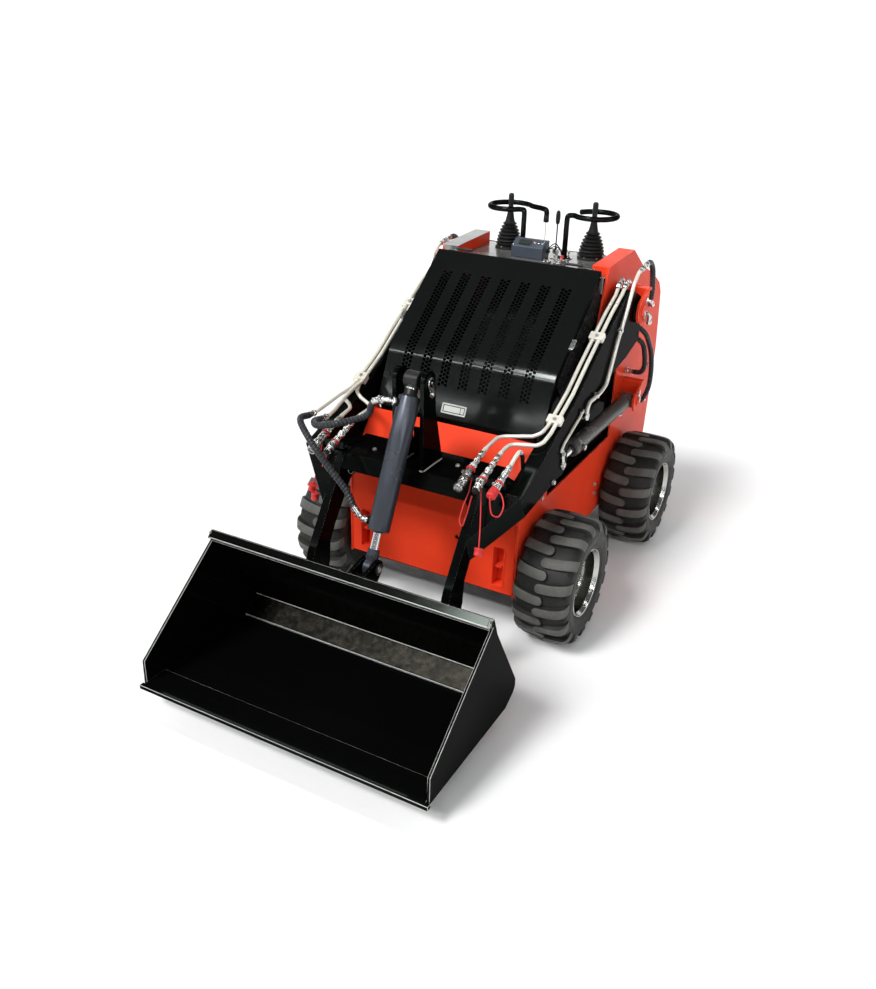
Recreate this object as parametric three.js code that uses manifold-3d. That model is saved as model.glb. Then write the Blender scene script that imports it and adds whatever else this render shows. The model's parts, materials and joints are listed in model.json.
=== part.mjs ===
// Compact stand-behind skid steer loader with a general-purpose bucket.
// Millimetres, +Z up, forward is -Y, the machine's left side is +X.
// Shapes are written in the front-axle frame (y = 0 at the front axle) and the
// outer group moves them so that the origin is under the centre of the box.
import * as THREE from 'three';
import Module from 'manifold-3d';
import { mergeVertices } from 'three/addons/utils/BufferGeometryUtils.js';
import { ConvexGeometry } from 'three/addons/geometries/ConvexGeometry.js';

const wasm = await Module();
wasm.setup();

// ---------------------------------------------------------------- dimensions
const FRONT_Y = -1141, REAR_Y = 1440;            // cutting edge, rider step
const OY = -(FRONT_Y + REAR_Y) / 2;
const WHEELBASE = 904, TYRE_R = 241.5, TYRE_W = 214, WHEEL_X = 471, RIM_R = 130;
const PLATE_IN = 345, PLATE_OUT = 353;           // chassis side plates
const CLEAR_Z = 192;                             // ground clearance
const HOOD_X = 342, HOOD_T = 4;
const HOOD = [[6, 754], [101, 963], [482, 1271]]; // hood's side line: foot, bend, top
const ARM_IN = 370, ARM_OUT = 425, LEG_IN = 255, LEG_OUT = 285;
const PIVOT = [725, 1076];                       // arm pivot
const CYL_REAR = [815, 667], CYL_FRONT = [16, 677], CYL_X = 397.5;
const TILT_TOP = [-310, 1010], TILT_EYE = [-585, 431];
const HINGE = [-525, 215];                       // quick-attach hinge at the arm tips
const BUCKET_X = 533, EDGE_X = 540, PLATE_T = 6;
const STEP_HINGE = [1150, 222];
const DECK_Z = 1235;

// ------------------------------------------------------------------ helpers
const mat = {
  red: new THREE.MeshStandardMaterial({ color: 0xd8452c, roughness: 0.35, metalness: 0.0 }),
  black: new THREE.MeshStandardMaterial({ color: 0x121413, roughness: 0.25, metalness: 0.0 }),
  grey: new THREE.MeshStandardMaterial({ color: 0x4b4e54, roughness: 0.45, metalness: 0.1 }),
  olive: new THREE.MeshStandardMaterial({ color: 0x5e5f59, roughness: 0.45, metalness: 0.1 }),
  chrome: new THREE.MeshStandardMaterial({ color: 0xd8d8d8, roughness: 0.12, metalness: 1.0 }),
  zinc: new THREE.MeshStandardMaterial({ color: 0xd8cfb8, roughness: 0.4, metalness: 0.7 }),
  rim: new THREE.MeshStandardMaterial({ color: 0xb9bab8, roughness: 0.4, metalness: 0.8 }),
  tyre: new THREE.MeshStandardMaterial({ color: 0x2c2c2b, roughness: 0.85, metalness: 0.0 }),
  rubber: new THREE.MeshStandardMaterial({ color: 0x141414, roughness: 0.7, metalness: 0.0 }),
  plastic: new THREE.MeshStandardMaterial({ color: 0x3c4148, roughness: 0.55, metalness: 0.0 }),
  iron: new THREE.MeshStandardMaterial({ color: 0x55565a, roughness: 0.7, metalness: 0.5 }),
};

function solid(geometry) {
  let g = geometry.clone();
  for (const name of Object.keys(g.attributes)) if (name !== 'position') g.deleteAttribute(name);
  g = mergeVertices(g, 2e-3);
  // drop triangles that the merge has collapsed
  const keep = [];
  const ix = g.index.array;
  for (let i = 0; i < ix.length; i += 3) {
    if (ix[i] !== ix[i + 1] && ix[i + 1] !== ix[i + 2] && ix[i] !== ix[i + 2]) keep.push(ix[i], ix[i + 1], ix[i + 2]);
  }
  return new wasm.Manifold(new wasm.Mesh({
    numProp: 3,
    vertProperties: new Float32Array(g.attributes.position.array),
    triVerts: new Uint32Array(keep),
  }));
}
const add = (...s) => s.reduce((a, b) => a.add(b));
const cut = (a, ...s) => s.reduce((x, b) => x.subtract(b), a);

function shape(points) {
  const s = new THREE.Shape();
  points.forEach((p, i) => (i ? s.lineTo(p[0], p[1]) : s.moveTo(p[0], p[1])));
  s.closePath();
  return s;
}
function prism(points, depth, basis) {
  const g = new THREE.ExtrudeGeometry(shape(points), { depth, bevelEnabled: false, steps: 1 });
  g.applyMatrix4(basis);
  return solid(g);
}
const V = (x, y, z) => new THREE.Vector3(x, y, z);
// outline [y, z] swept from x0 to x1
const alongX = (pts, x0, x1) => prism(pts, x1 - x0,
  new THREE.Matrix4().makeBasis(V(0, 1, 0), V(0, 0, 1), V(1, 0, 0)).setPosition(x0, 0, 0));
// outline [x, y] swept from z0 to z1
const alongZ = (pts, z0, z1) => prism(pts, z1 - z0, new THREE.Matrix4().makeTranslation(0, 0, z0));
// outline [x, z] swept from y0 to y1
const alongY = (pts, y0, y1) => prism(pts, y1 - y0,
  new THREE.Matrix4().makeBasis(V(1, 0, 0), V(0, 0, 1), V(0, -1, 0)).setPosition(0, y1, 0));
const box = (x0, x1, y0, y1, z0, z1) => {
  const g = new THREE.BoxGeometry(x1 - x0, y1 - y0, z1 - z0);
  g.translate((x0 + x1) / 2, (y0 + y1) / 2, (z0 + z1) / 2);
  return solid(g);
};
function rod(a, b, r, sides = 16, r2 = r) {
  const p = V(...a), q = V(...b), d = q.clone().sub(p);
  const g = new THREE.CylinderGeometry(r2, r, d.length(), sides);
  g.applyQuaternion(new THREE.Quaternion().setFromUnitVectors(V(0, 1, 0), d.clone().normalize()));
  g.translate((p.x + q.x) / 2, (p.y + q.y) / 2, (p.z + q.z) / 2);
  return solid(g);
}
const rodX = (y, z, r, x0, x1, sides = 16) => {
  const g = new THREE.CylinderGeometry(r, r, x1 - x0, sides);
  g.rotateZ(-Math.PI / 2);
  g.translate((x0 + x1) / 2, y, z);
  return solid(g);
};
// closed outline of [radius, x] turned about the X direction through (y, z)
function turnX(profile, x, y, z, sides) {
  const pts = profile.map(([r, h]) => new THREE.Vector2(r, h));
  pts.push(pts[0].clone());
  const g = new THREE.LatheGeometry(pts, sides);
  g.rotateZ(-Math.PI / 2);
  g.translate(x, y, z);
  let s = solid(g);
  if (s.volume() < 0) {
    pts.reverse();
    const h = new THREE.LatheGeometry(pts, sides);
    h.rotateZ(-Math.PI / 2);
    h.translate(x, y, z);
    s = solid(h);
  }
  return s;
}
function turnZ(profile, x, y, z, sides) {
  const g = new THREE.LatheGeometry(profile.map(([r, h]) => new THREE.Vector2(r, h)), sides);
  g.rotateX(Math.PI / 2);
  g.translate(x, y, z);
  return solid(g);
}
function tube(points, r, sides = 8, steps = null, tension = 0.5) {
  const path = new THREE.CatmullRomCurve3(points.map((p) => V(...p)), false, 'centripetal', tension);
  const ring = [];
  for (let i = 0; i < sides; i++) ring.push([r * Math.cos((2 * Math.PI * i) / sides), r * Math.sin((2 * Math.PI * i) / sides)]);
  const n = steps ?? Math.min(80, Math.max(6, Math.round(path.getLength() / (5 * r))));
  return solid(new THREE.ExtrudeGeometry(shape(ring), { steps: n, bevelEnabled: false, extrudePath: path }));
}
const hull = (pts) => solid(new ConvexGeometry(pts.map((p) => V(...p))));
const mirror = (s) => s.mirror([1, 0, 0]);
const arc = (cy, cz, r, a0, a1, n) => Array.from({ length: n + 1 }, (_, i) => {
  const a = ((a0 + ((a1 - a0) * i) / n) * Math.PI) / 180;
  return [cy + r * Math.cos(a), cz + r * Math.sin(a)];
});
// strip of even thickness t to the left of an open polyline
function strip(line, t) {
  const n = line.length, out = [];
  for (let i = 0; i < n; i++) {
    const a = line[Math.max(0, i - 1)], b = line[i], c = line[Math.min(n - 1, i + 1)];
    const d1 = [b[0] - a[0], b[1] - a[1]], d2 = [c[0] - b[0], c[1] - b[1]];
    const u = (d) => { const l = Math.hypot(...d) || 1; return [-d[1] / l, d[0] / l]; };
    let n1 = i ? u(d1) : u(d2), n2 = i < n - 1 ? u(d2) : n1;
    const m = [n1[0] + n2[0], n1[1] + n2[1]], k = 2 / (m[0] ** 2 + m[1] ** 2);
    out.push([b[0] + m[0] * k * t, b[1] + m[1] * k * t]);
  }
  return [...line, ...out.reverse()];
}

const machine = new THREE.Group();
machine.position.set(0, OY, 0);
function part(name, s, material) {
  if (s.decompose) {
    const bits = s.decompose();
    if (bits.length !== 1) throw new Error(`${name} is ${bits.length} bodies`);
  }
  const m = s.getMesh();
  const g = new THREE.BufferGeometry();
  g.setAttribute('position', new THREE.BufferAttribute(new Float32Array(m.vertProperties), 3));
  g.setIndex(Array.from(m.triVerts));
  g.computeVertexNormals();
  const mesh = new THREE.Mesh(g, material);
  mesh.name = name;
  machine.add(mesh);
}
const pair = (name, left, material) => {
  part(`${name}_left`, left, material);
  part(`${name}_right`, mirror(left), material);
};

// ------------------------------------------------------------------- wheels
const tyreProfile = [
  [121.2, -86.4], [130.9, -90.9], [134, -99], [175, -107], [212, -104], [234, -88], [241.5, -45],
  [241.5, 45], [234, 88], [212, 104], [175, 107], [134, 99], [130.9, 90.9], [121.2, 86.4],
];
const rimProfile = [
  [RIM_R, -95], [RIM_R, -91.5], [120.5, -87], [120.5, 87], [RIM_R, 91.5], [RIM_R, 95], [124, 95], [114, 86],
  [114, -26], [60, -32], [20, -32], [20, -72], [62, -72], [62, -40], [114, -36], [114, -86], [124, -95],
];
function wheel(tag, x, y) {
  const s = x > 0 ? 1 : -1;
  const flip = (prof) => (s > 0 ? prof : prof.map(([r, h]) => [r, -h]));
  const tyre = turnX(flip(tyreProfile), x, y, TYRE_R, 36);
  part(`tyre_${tag}`, tyre, mat.tyre);
  // dished rim: barrel, deep disc and hub in one turned piece
  const ring = turnX(flip(rimProfile), x, y, TYRE_R, 28);
  const core = rodX(y, TYRE_R, 24, x + (s > 0 ? -71 : 33), x + (s > 0 ? -33 : 71), 10);
  part(`rim_${tag}`, add(ring, core), mat.rim);
}
wheel('front_left', WHEEL_X, 0);
wheel('front_right', -WHEEL_X, 0);
wheel('rear_left', WHEEL_X, WHEELBASE);
wheel('rear_right', -WHEEL_X, WHEELBASE);

// one axle across the chassis for each pair of wheels, with its drive flanges
const axle = (y) => add(
  rodX(y, TYRE_R, 40, -394, 394, 16),
  rodX(y, TYRE_R, 68, 353.4, 372, 16), rodX(y, TYRE_R, 68, -372, -353.4, 16),
);
part('axle_front', axle(0), mat.iron);
part('axle_rear', axle(WHEELBASE), mat.iron);

// ------------------------------------------------------------------ chassis
const plateLine = [
  [-165, CLEAR_Z], [1230, CLEAR_Z], [1296, 250], [1321, 356], [1331, 486], [1345, 750], [1326, 883], [1303, 1022],
  [1262, 1072], [1180, 1115], [967, 1204], [830, 1286], [534, 1271], [457, 1013], [520, 930], [776, 860], [776, 502], [82, 502], [82, 640], [30, 748], [0, 748], [-165, 540],
];
function sidePlate() {
  let s = alongX(plateLine, PLATE_IN, PLATE_OUT);
  // arm pivot bracket: a web behind the arm's end, an outer ear and the pin
  const ear = [[796, 1152], [722, 1128], ...arc(PIVOT[0], PIVOT[1], 50, 100, 270, 8), [796, 1010]];
  s = add(s, alongX(ear, 433, 444), box(PLATE_OUT - 1, 444, 786, 796, 1010, 1152));
  s = add(s, box(PLATE_OUT - 1, 444, 786, 822, 1142, 1152));
  s = add(s, rodX(PIVOT[0], PIVOT[1], 22, PLATE_OUT - 1, 452));
  // folded rail beside the deck: top sheet, inner wall and front end
  s = add(s, alongX([[534, 1267], [830, 1282], [830, 1286], [534, 1271]], 286, PLATE_IN + 1), alongX([[534, DECK_Z + 0.4], [830, DECK_Z + 0.4], [830, 1286], [534, 1271]], 286, 290),
    box(286, PLATE_IN + 1, 534, 538, DECK_Z + 0.4, 1270));
  // lift cylinder bracket of the same kind
  const low = [[868, 742], [828, 720], ...arc(CYL_REAR[0], CYL_REAR[1], 42, 90, 270, 7), [868, 618]];
  s = add(s, alongX(low, 434, 444), box(PLATE_OUT - 1, 444, 858, 868, 618, 742), box(PLATE_OUT - 1, 444, 858, 892, 732, 742));
  s = add(s, rodX(CYL_REAR[0], CYL_REAR[1], 15, PLATE_OUT - 1, 450));
  // openings for the two axles
  s = cut(s, rodX(0, TYRE_R, 40.4, 340, 360, 16), rodX(WHEELBASE, TYRE_R, 40.4, 340, 360, 16));
  return s;
}
pair('side_plate', sidePlate(), mat.red);

// front panel: upright, then sloped back to the foot of the hood
const frontLine = [[-165, CLEAR_Z + 8], [-165, 540], [-2, 742]];
part('front_panel', alongX(strip(frontLine, -6), -PLATE_IN + 0.4, PLATE_IN - 0.4), mat.red);
part('belly_plate', box(-PLATE_IN + 0.4, PLATE_IN - 0.4, -158, 1104, CLEAR_Z, CLEAR_Z + 7.6), mat.black);
// rear cover: sloped top, then upright down to the belly
const rearLine = [[1104, CLEAR_Z + 0.2], [1104, 1060], [1080, 1092], [884, DECK_Z - 2]];
part('rear_cover', alongX(strip(rearLine, -5), -PLATE_IN + 0.4, PLATE_IN - 0.4), mat.black);
// control deck behind the hood, with a folded front lip
part('control_deck', add(
  box(-PLATE_IN + 0.4, PLATE_IN - 0.4, 500, 879, DECK_Z - 4, DECK_Z),
  box(-PLATE_IN + 0.4, PLATE_IN - 0.4, 500, 505, DECK_Z - 60, DECK_Z),
), mat.black);
// louvred panels that close the engine bay below the hood's edges
pair('engine_side_panel', alongX([[24, 748], [108, 938], [478, 1240], [496, 1240], [496, 1160], [800, 1060], [800, 480], [60, 480], [24, 640]], 330, 333), mat.black);
part('engine', add(box(-190, 190, 330, 800, 430, 900), box(-120, 120, 400, 700, 899, 1060), box(-210, 210, 350, 780, CLEAR_Z + 8.5, 431)), mat.iron);

// ------------------------------------------------- hood, hinged at its top
const hoodLine = [HOOD[0], [87, 932], [101, 963], [125, 986], HOOD[2]];
const hoodSheet = alongX(strip(hoodLine, -HOOD_T), -HOOD_X, HOOD_X);
const flangeLine = [[10, 752], [90, 930], [104, 960], [127, 982], [478, 1265], [478, 1238], [140, 966], [120, 945], [40, 752]];
const hoodFlange = alongX(flangeLine, HOOD_X - 3, HOOD_X);
part('hood', add(hoodSheet, hoodFlange, mirror(hoodFlange)), mat.black);

// ----------------------------------------------------------------- controls
const instrument = alongX([[650, DECK_Z + 0.4], [722, DECK_Z + 0.4], [722, DECK_Z + 66], [694, DECK_Z + 70], [650, DECK_Z + 44]], -104, 32);
part('instrument_box', instrument, mat.plastic);
const bootLine = [
  [0, 0], [56, 0], [56, 10], [52, 45], [43, 82], [30, 112], [15, 140], [11, 150], [11, 176], [17, 190], [15, 214], [0, 222],
];
const joystick = turnZ(bootLine, 0, 0, 0, 14);
part('joystick_left', joystick.translate([183, 800, DECK_Z + 0.4]), mat.rubber);
part('joystick_right', joystick.translate([-183, 800, DECK_Z + 0.4]), mat.rubber);
// hand guards: an open ring round each lever on one bent post
function guardTube(cx, side) {
  const ring = [];
  for (let i = 0; i <= 16; i++) {
    const a = (-150 + (300 * i) / 16) * (Math.PI / 180);
    ring.push([cx + side * 88 * Math.cos(a), 805 + 88 * Math.sin(a), 1405]);
  }
  const start = ring[0];
  const post = [[cx - side * 92, start[1] - 22, DECK_Z + 0.4], [cx - side * 92, start[1] - 22, 1330], [cx - side * 92, start[1] - 20, 1375], [cx - side * 86, start[1] - 10, 1400]];
  return tube([...post, ...ring], 10.5, 6, 30);
}
part('hand_guard_left', guardTube(183, 1), mat.black);
part('hand_guard_right', guardTube(-183, -1), mat.black);

// --------------------------------------------------------------- rider step
const stepBody = add(
  box(-322, 322, 1166, REAR_Y, 218, 226),
  box(-322, 322, REAR_Y - 6, REAR_Y, 196, 226),
  box(-322, -316, 1180, REAR_Y, 196, 226), box(316, 322, 1180, REAR_Y, 196, 226),
  rodX(STEP_HINGE[0], STEP_HINGE[1], 11, -322, 322, 16),
  box(-300, -200, 1150, 1168, 218, 226), box(200, 300, 1150, 1168, 218, 226),
);
part('rider_step', stepBody, mat.black);
part('step_hinge_left', add(box(325.6, 336, 1109.5, 1166, 200, 244)), mat.black);
part('step_hinge_right', mirror(box(325.6, 336, 1109.5, 1166, 200, 244)), mat.black);

// -------------------------------------------------------------- loader arms
const armLine = [
  [587, 1183], [640, 1172], ...arc(PIVOT[0], PIVOT[1], 56, 72, -28, 7), [776, 1000], [785, 945], [640, 905], [440, 876], [300, 842], [170, 806], [60, 762],
  [60, 676], ...arc(CYL_FRONT[0], CYL_FRONT[1], 40, 0, -110, 7), [-130, 627], [-300, 608], [-343, 697], [-198, 752], [-78, 807], [107, 893], [217, 965], [332, 1035], [442, 1103],
];
const legLine = [
  [-343, 700], [-414, 593], [-475, 497], [-541, 396], [-566, 335], [-570, 280], [-561, 230],
  ...arc(HINGE[0], HINGE[1], 34, 195, 350, 6), [-470, 262], [-452, 312], [-446, 391], [-409, 455], [-300, 600], [-200, 655], [-155, 680], [-155, 700],
];
function arm() {
  let s = alongX(armLine, ARM_IN, ARM_OUT);
  // clevis slot for the lift cylinder's rod eye
  s = cut(s, alongX([[-60, 560], [-60, 716], [95, 742], [95, 560]], ARM_IN + 9, ARM_OUT - 9));
  // bore for the pivot pin
  s = cut(s, rodX(PIVOT[0], PIVOT[1], 23, ARM_IN - 5, ARM_OUT + 5, 20));
  const leg = cut(alongX(legLine, LEG_IN, LEG_OUT), rodX(HINGE[0], HINGE[1], 18.4, LEG_IN - 5, LEG_OUT + 5));
  const knee = hull([
    [LEG_OUT - 1, -343, 700], [ARM_OUT, -343, 697], [LEG_OUT - 1, -447, 543], [LEG_OUT - 1, -220, 655], [LEG_OUT - 1, -200, 700],
    [ARM_OUT, -300, 608], [LEG_OUT - 1, -412, 455], [ARM_IN + 1, -250, 700], [ARM_IN + 1, -250, 625], [ARM_IN + 1, -343, 700],
  ]);
  return add(s, leg, knee);
}
pair('loader_arm', arm(), mat.black);
const beamLine = [[-343, 700], [-155, 700], [-155, 690], [-327, 690], [-352, 650], [-372, 650]];
const towerLine = [[-343, 699], [-205, 699], [-262, 900], ...arc(TILT_TOP[0], TILT_TOP[1], 40, -10, 190, 8)];
const tower = alongX(towerLine, 46, 60);
part('crossbeam', add(
  alongX(beamLine, -LEG_IN + 0.4, LEG_IN - 0.4), tower, mirror(tower),
  box(-46.5, 46.5, -222, -212, 699, 800),
  rodX(TILT_TOP[0], TILT_TOP[1], 15, -68, 68),
), mat.black);

// ---------------------------------------------------------------- cylinders
const unit2 = (a, b) => { const l = Math.hypot(b[0] - a[0], b[1] - a[1]); return [(b[0] - a[0]) / l, (b[1] - a[1]) / l, l]; };
const at = (a, u, d) => [a[0] + u[0] * d, a[1] + u[1] * d];
{
  const u = unit2(CYL_REAR, CYL_FRONT);
  const p = (d) => [CYL_X, ...at(CYL_REAR, u, d)];
  const eye = rodX(...CYL_REAR, 30, CYL_X - 26, CYL_X + 26);
  let barrel = add(rod(p(20), p(645), 30, 18), eye);
  barrel = add(barrel, rod([CYL_X, ...at(CYL_REAR, u, 80)], [CYL_X, at(CYL_REAR, u, 80)[0], at(CYL_REAR, u, 80)[1] - 48], 11, 10),
    rod([CYL_X, ...at(CYL_REAR, u, 600)], [CYL_X + 44, at(CYL_REAR, u, 600)[0], at(CYL_REAR, u, 600)[1]], 11, 10));
  barrel = cut(barrel, rodX(...CYL_REAR, 15.4, CYL_X - 40, CYL_X + 40));
  barrel = cut(barrel, rod(p(296), p(660), 15.8, 14));
  pair('lift_cylinder_barrel', barrel, mat.olive);
  let piston = add(rod(p(320), p(u[2] - 20), 15, 14), rodX(...CYL_FRONT, 27, CYL_X - 12, CYL_X + 12));
  piston = cut(piston, rodX(...CYL_FRONT, 15, CYL_X - 30, CYL_X + 30));
  pair('lift_cylinder_rod', piston, mat.chrome);
}
{
  const u = unit2(TILT_TOP, TILT_EYE);
  const p = (d) => [0, ...at(TILT_TOP, u, d)];
  const side = (d, dx) => { const q = at(TILT_TOP, u, d); return [dx, q[0], q[1]]; };
  let barrel = add(rod(p(56), p(516), 38, 20), rod(p(18), p(60), 23, 12), rodX(...TILT_TOP, 30, -26, 26));
  const c = side(85, 0);
  barrel = add(barrel, rod(c, [c[0] - 40, c[1] - 36, c[2] + 17], 10, 10), rod(side(490, 0), side(490, -57), 11, 10));
  barrel = cut(barrel, rodX(...TILT_TOP, 15.4, -60, 60), rod(p(196), p(530), 15.8, 14));
  part('tilt_cylinder_barrel', barrel, mat.grey);
  let piston = add(rod(p(262), p(u[2] - 20), 15, 14), rodX(...TILT_EYE, 30, -14, 14));
  piston = cut(piston, rodX(...TILT_EYE, 15.4, -60, 60));
  part('tilt_cylinder_rod', piston, mat.chrome);
}

// --------------------------------------------- bucket and its quick attach
const LIP = [-756, 467], HEEL_TOP = [-545, 133], HEEL_LOW = [-617, 80], TOE = [-1125, 92];
const shellLine = [TOE, HEEL_LOW, HEEL_TOP, LIP];
const shell = alongX(strip(shellLine, -PLATE_T).slice(), -BUCKET_X + PLATE_T, BUCKET_X - PLATE_T);
const cheekLine = [
  [-1122, 93], [-1119, 183], [-747, 470], [-762, 474], [-762, 496], [-742, 496], [-712, 425], [-540, 150], [-538, 120], [-552, 100], [-610, 72],
  [-617, 73], [-1122, 85],
];
const cheek = alongX(cheekLine, BUCKET_X - PLATE_T, BUCKET_X);
const lipBar = alongX([[-762, 474], [-742, 496], [-752, 500], [-774, 478]], -BUCKET_X + 1, BUCKET_X - 1);
part('bucket', add(shell, cheek, mirror(cheek), lipBar), mat.black);
// cutting edge: a bevelled bar bolted on top of the floor, a little wider than the bucket
const edgeDir = (y) => 92.4 + ((y + 1125) / (HEEL_LOW[0] + 1125)) * (80 - 92);
part('cutting_edge', add(
  alongX([[-1125.6, 84], [-1125.6, edgeDir(-1125)], [-1036, edgeDir(-1036)], [-1036, edgeDir(-1036) + 10], [-1122, edgeDir(-1122) + 11], [FRONT_Y, 96], [FRONT_Y, 93]], -BUCKET_X + PLATE_T + 0.4, BUCKET_X - PLATE_T - 0.4),
  box(-EDGE_X, EDGE_X, FRONT_Y, -1125.6, 84, 99),
), mat.black);
// quick-attach frame behind the bucket
{
  const d = unit2(HEEL_TOP, LIP), n = [-d[1] * -1, d[0] * -1];
  const back = (t, off) => [HEEL_TOP[0] + d[0] * t + d[1] * off, HEEL_TOP[1] + d[1] * t - d[0] * off];
  const O0 = 7.2, O1 = 17;
  const plate = alongX([back(26, O0), back(372, O0), back(372, O1), back(26, O1)], -470, 470);
  const hookY = alongX([back(356, O0), back(384, O0), back(384, O1 + 22), back(372, O1 + 22), back(370, O1), back(356, O1)], -470, 470);
  const ear = [back(30, O1 - 1), back(150, O1 - 1), [-552, 262], ...arc(HINGE[0], HINGE[1], 34, 110, -70, 6)];
  const ears = [];
  for (const x of [238, 290]) ears.push(alongX(ear, x, x + 10), alongX(ear, -x - 10, -x));
  const tip = [back(215, O1 - 1), back(352, O1 - 1), ...arc(TILT_EYE[0], TILT_EYE[1], 32, 115, -65, 6)];
  for (const x of [20, -32]) ears.push(cut(alongX(tip, x, x + 12), rodX(...TILT_EYE, 15, x - 5, x + 20)));
  const pins = [rodX(...HINGE, 18, 230, 306), rodX(...HINGE, 18, -306, -230)];
  part('quick_attach', add(plate, hookY, ...ears, ...pins), mat.black);
}

// --------------------------------------- hard lines, couplers and hoses
const tubeA = [[385, 590, 1213.5], [385, 542, 1166.5], [385, 446, 1121.5], [385, 332, 1053.5], [385, 217, 983.5], [385, 107, 911.5], [385, -50, 839.5], [376, -80, 823.5], [350, -92, 809.5]];
const tubeB = [[408, 600, 1209.5], [408, 548, 1173.5], [408, 442, 1120.5], [408, 332, 1053.5], [408, 217, 983.5], [408, 107, 911.5], [408, -78, 827.5]];
const endsLeft = [
  [[250, -110, 792], [234, -130, 790], [234, -190, 786], [234, -240, 780], [234, -281.5, 766]],
  [[402, -122, 809], [386, -140, 799], [310, -150, 790], [295, -166, 789], [293, -200, 786], [293, -245, 778], [293, -281.5, 766]],
];
const endsRight = [
  [[302, -106, 793], [286, -126, 790], [286, -190, 786], [286, -240, 780], [286, -281.5, 766]],
  [[406, -112, 819], [396, -134, 808], [366, -148, 799], [348, -166, 790], [345, -200, 787], [345, -245, 778], [345, -281.5, 766]],
];
function hardLines([endA, endB]) {
  const clampAt = (y, z) => hull([
    [376, y - 16, z - 10], [417, y - 16, z - 10], [376, y + 16, z + 10], [417, y + 16, z + 10],
    [376, y - 22, z - 1], [417, y - 22, z - 1], [376, y + 10, z + 19], [417, y + 10, z + 19],
  ]);
  return add(tube([...tubeA, ...endA], 7, 6, 22), tube([...tubeB, ...endB], 7, 6, 22), clampAt(390, 1084), clampAt(10, 863));
}
part('hydraulic_lines_left', hardLines(endsLeft), mat.zinc);
part('hydraulic_lines_right', mirror(hardLines(endsRight)), mat.zinc);
const coupler = (tail, tip) => {
  const a = V(...tail), b = V(...tip), d = b.clone().sub(a), at3 = (t) => a.clone().addScaledVector(d, t).toArray();
  return add(rod(at3(0), at3(0.35), 9, 8), rod(at3(0.3), at3(0.62), 14, 10), rod(at3(0.6), at3(1), 17, 10));
};
// quick couplers in a clamp rail on each end of the crossbeam
{
  const rail = (x0, x1) => add(box(x0, x1, -338, -330, 700.4, 736), box(x0, x1, -338, -306, 700.4, 707));
  const one = (x) => coupler([x, -284, 765], [x, -424, 715]);
  part('coupler_bank_left', add(one(234), one(293), one(352), rail(214, 367)), mat.zinc);
  part('coupler_bank_right', mirror(add(one(286), one(345), rail(266, 365))), mat.zinc);
}
// tilt cylinder hoses: from the lines at the right arm to the barrel's two ports
{
  const u = unit2(TILT_TOP, TILT_EYE);
  const q1 = at(TILT_TOP, u, 85), q2 = at(TILT_TOP, u, 490);
  part('tilt_hose_upper', tube([[-41.6, q1[0] - 37.5, q1[1] + 17.7], [-56, q1[0] - 50, q1[1] + 23], [-150, -360, 870], [-235, -420, 840], [-310, -430, 820], [-352, -380, 812], [-352, -320, 806]], 11, 8, 20), mat.rubber);
  part('tilt_hose_lower', tube([[-58.5, q2[0], q2[1]], [-76, q2[0], q2[1]], [-98, q2[0] - 8, q2[1] + 30], [-140, -505, 640], [-225, -500, 720], [-310, -480, 790], [-380, -430, 830], [-384, -350, 822]], 11, 8, 22), mat.rubber);
}
// lift circuit: a hard line down each arm's outer face, a hose over the arm
// pivot into the chassis, and two hoses behind the lift cylinder's bracket
pair('lift_line', tube([[434, 745, 1255], [434, 650, 1242], [434, 603, 1206], [434, 552, 1117], [434, 482, 1017], [434, 433, 925], [434, 397, 866], [434, 340, 852], [434, 225, 850], [434, 206, 832], [434, 203, 800]], 7, 6, 26), mat.zinc);
pair('pivot_hose', tube([[434, 747.5, 1255], [434, 785, 1254], [434, 826, 1226], [434, 852, 1172], [434, 864, 1116], [424, 872, 1072], [398, 878, 1052], [357, 880, 1050]], 11, 8, 16), mat.rubber);
pair('lift_hoses', add(
  tube([[356, 812, 986], [392, 812, 984], [436, 822, 966], [439, 868, 918], [439, 940, 866], [439, 982, 800], [439, 998, 700], [430, 996, 640], [400, 990, 604], [356, 989, 597]], 10.5, 8, 20),
  tube([[356, 812, 940], [392, 812, 938], [436, 818, 922], [439, 842, 880], [439, 862, 826], [438, 880, 778], [420, 896, 768], [392, 906, 764], [356, 908, 763]], 10.5, 8, 16),
  box(388, 404, 803, 821, 930, 992),
), mat.rubber);

export default machine;
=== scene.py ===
import bpy, bmesh, json, math, random
from mathutils import Vector, Matrix, noise, geometry

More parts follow.
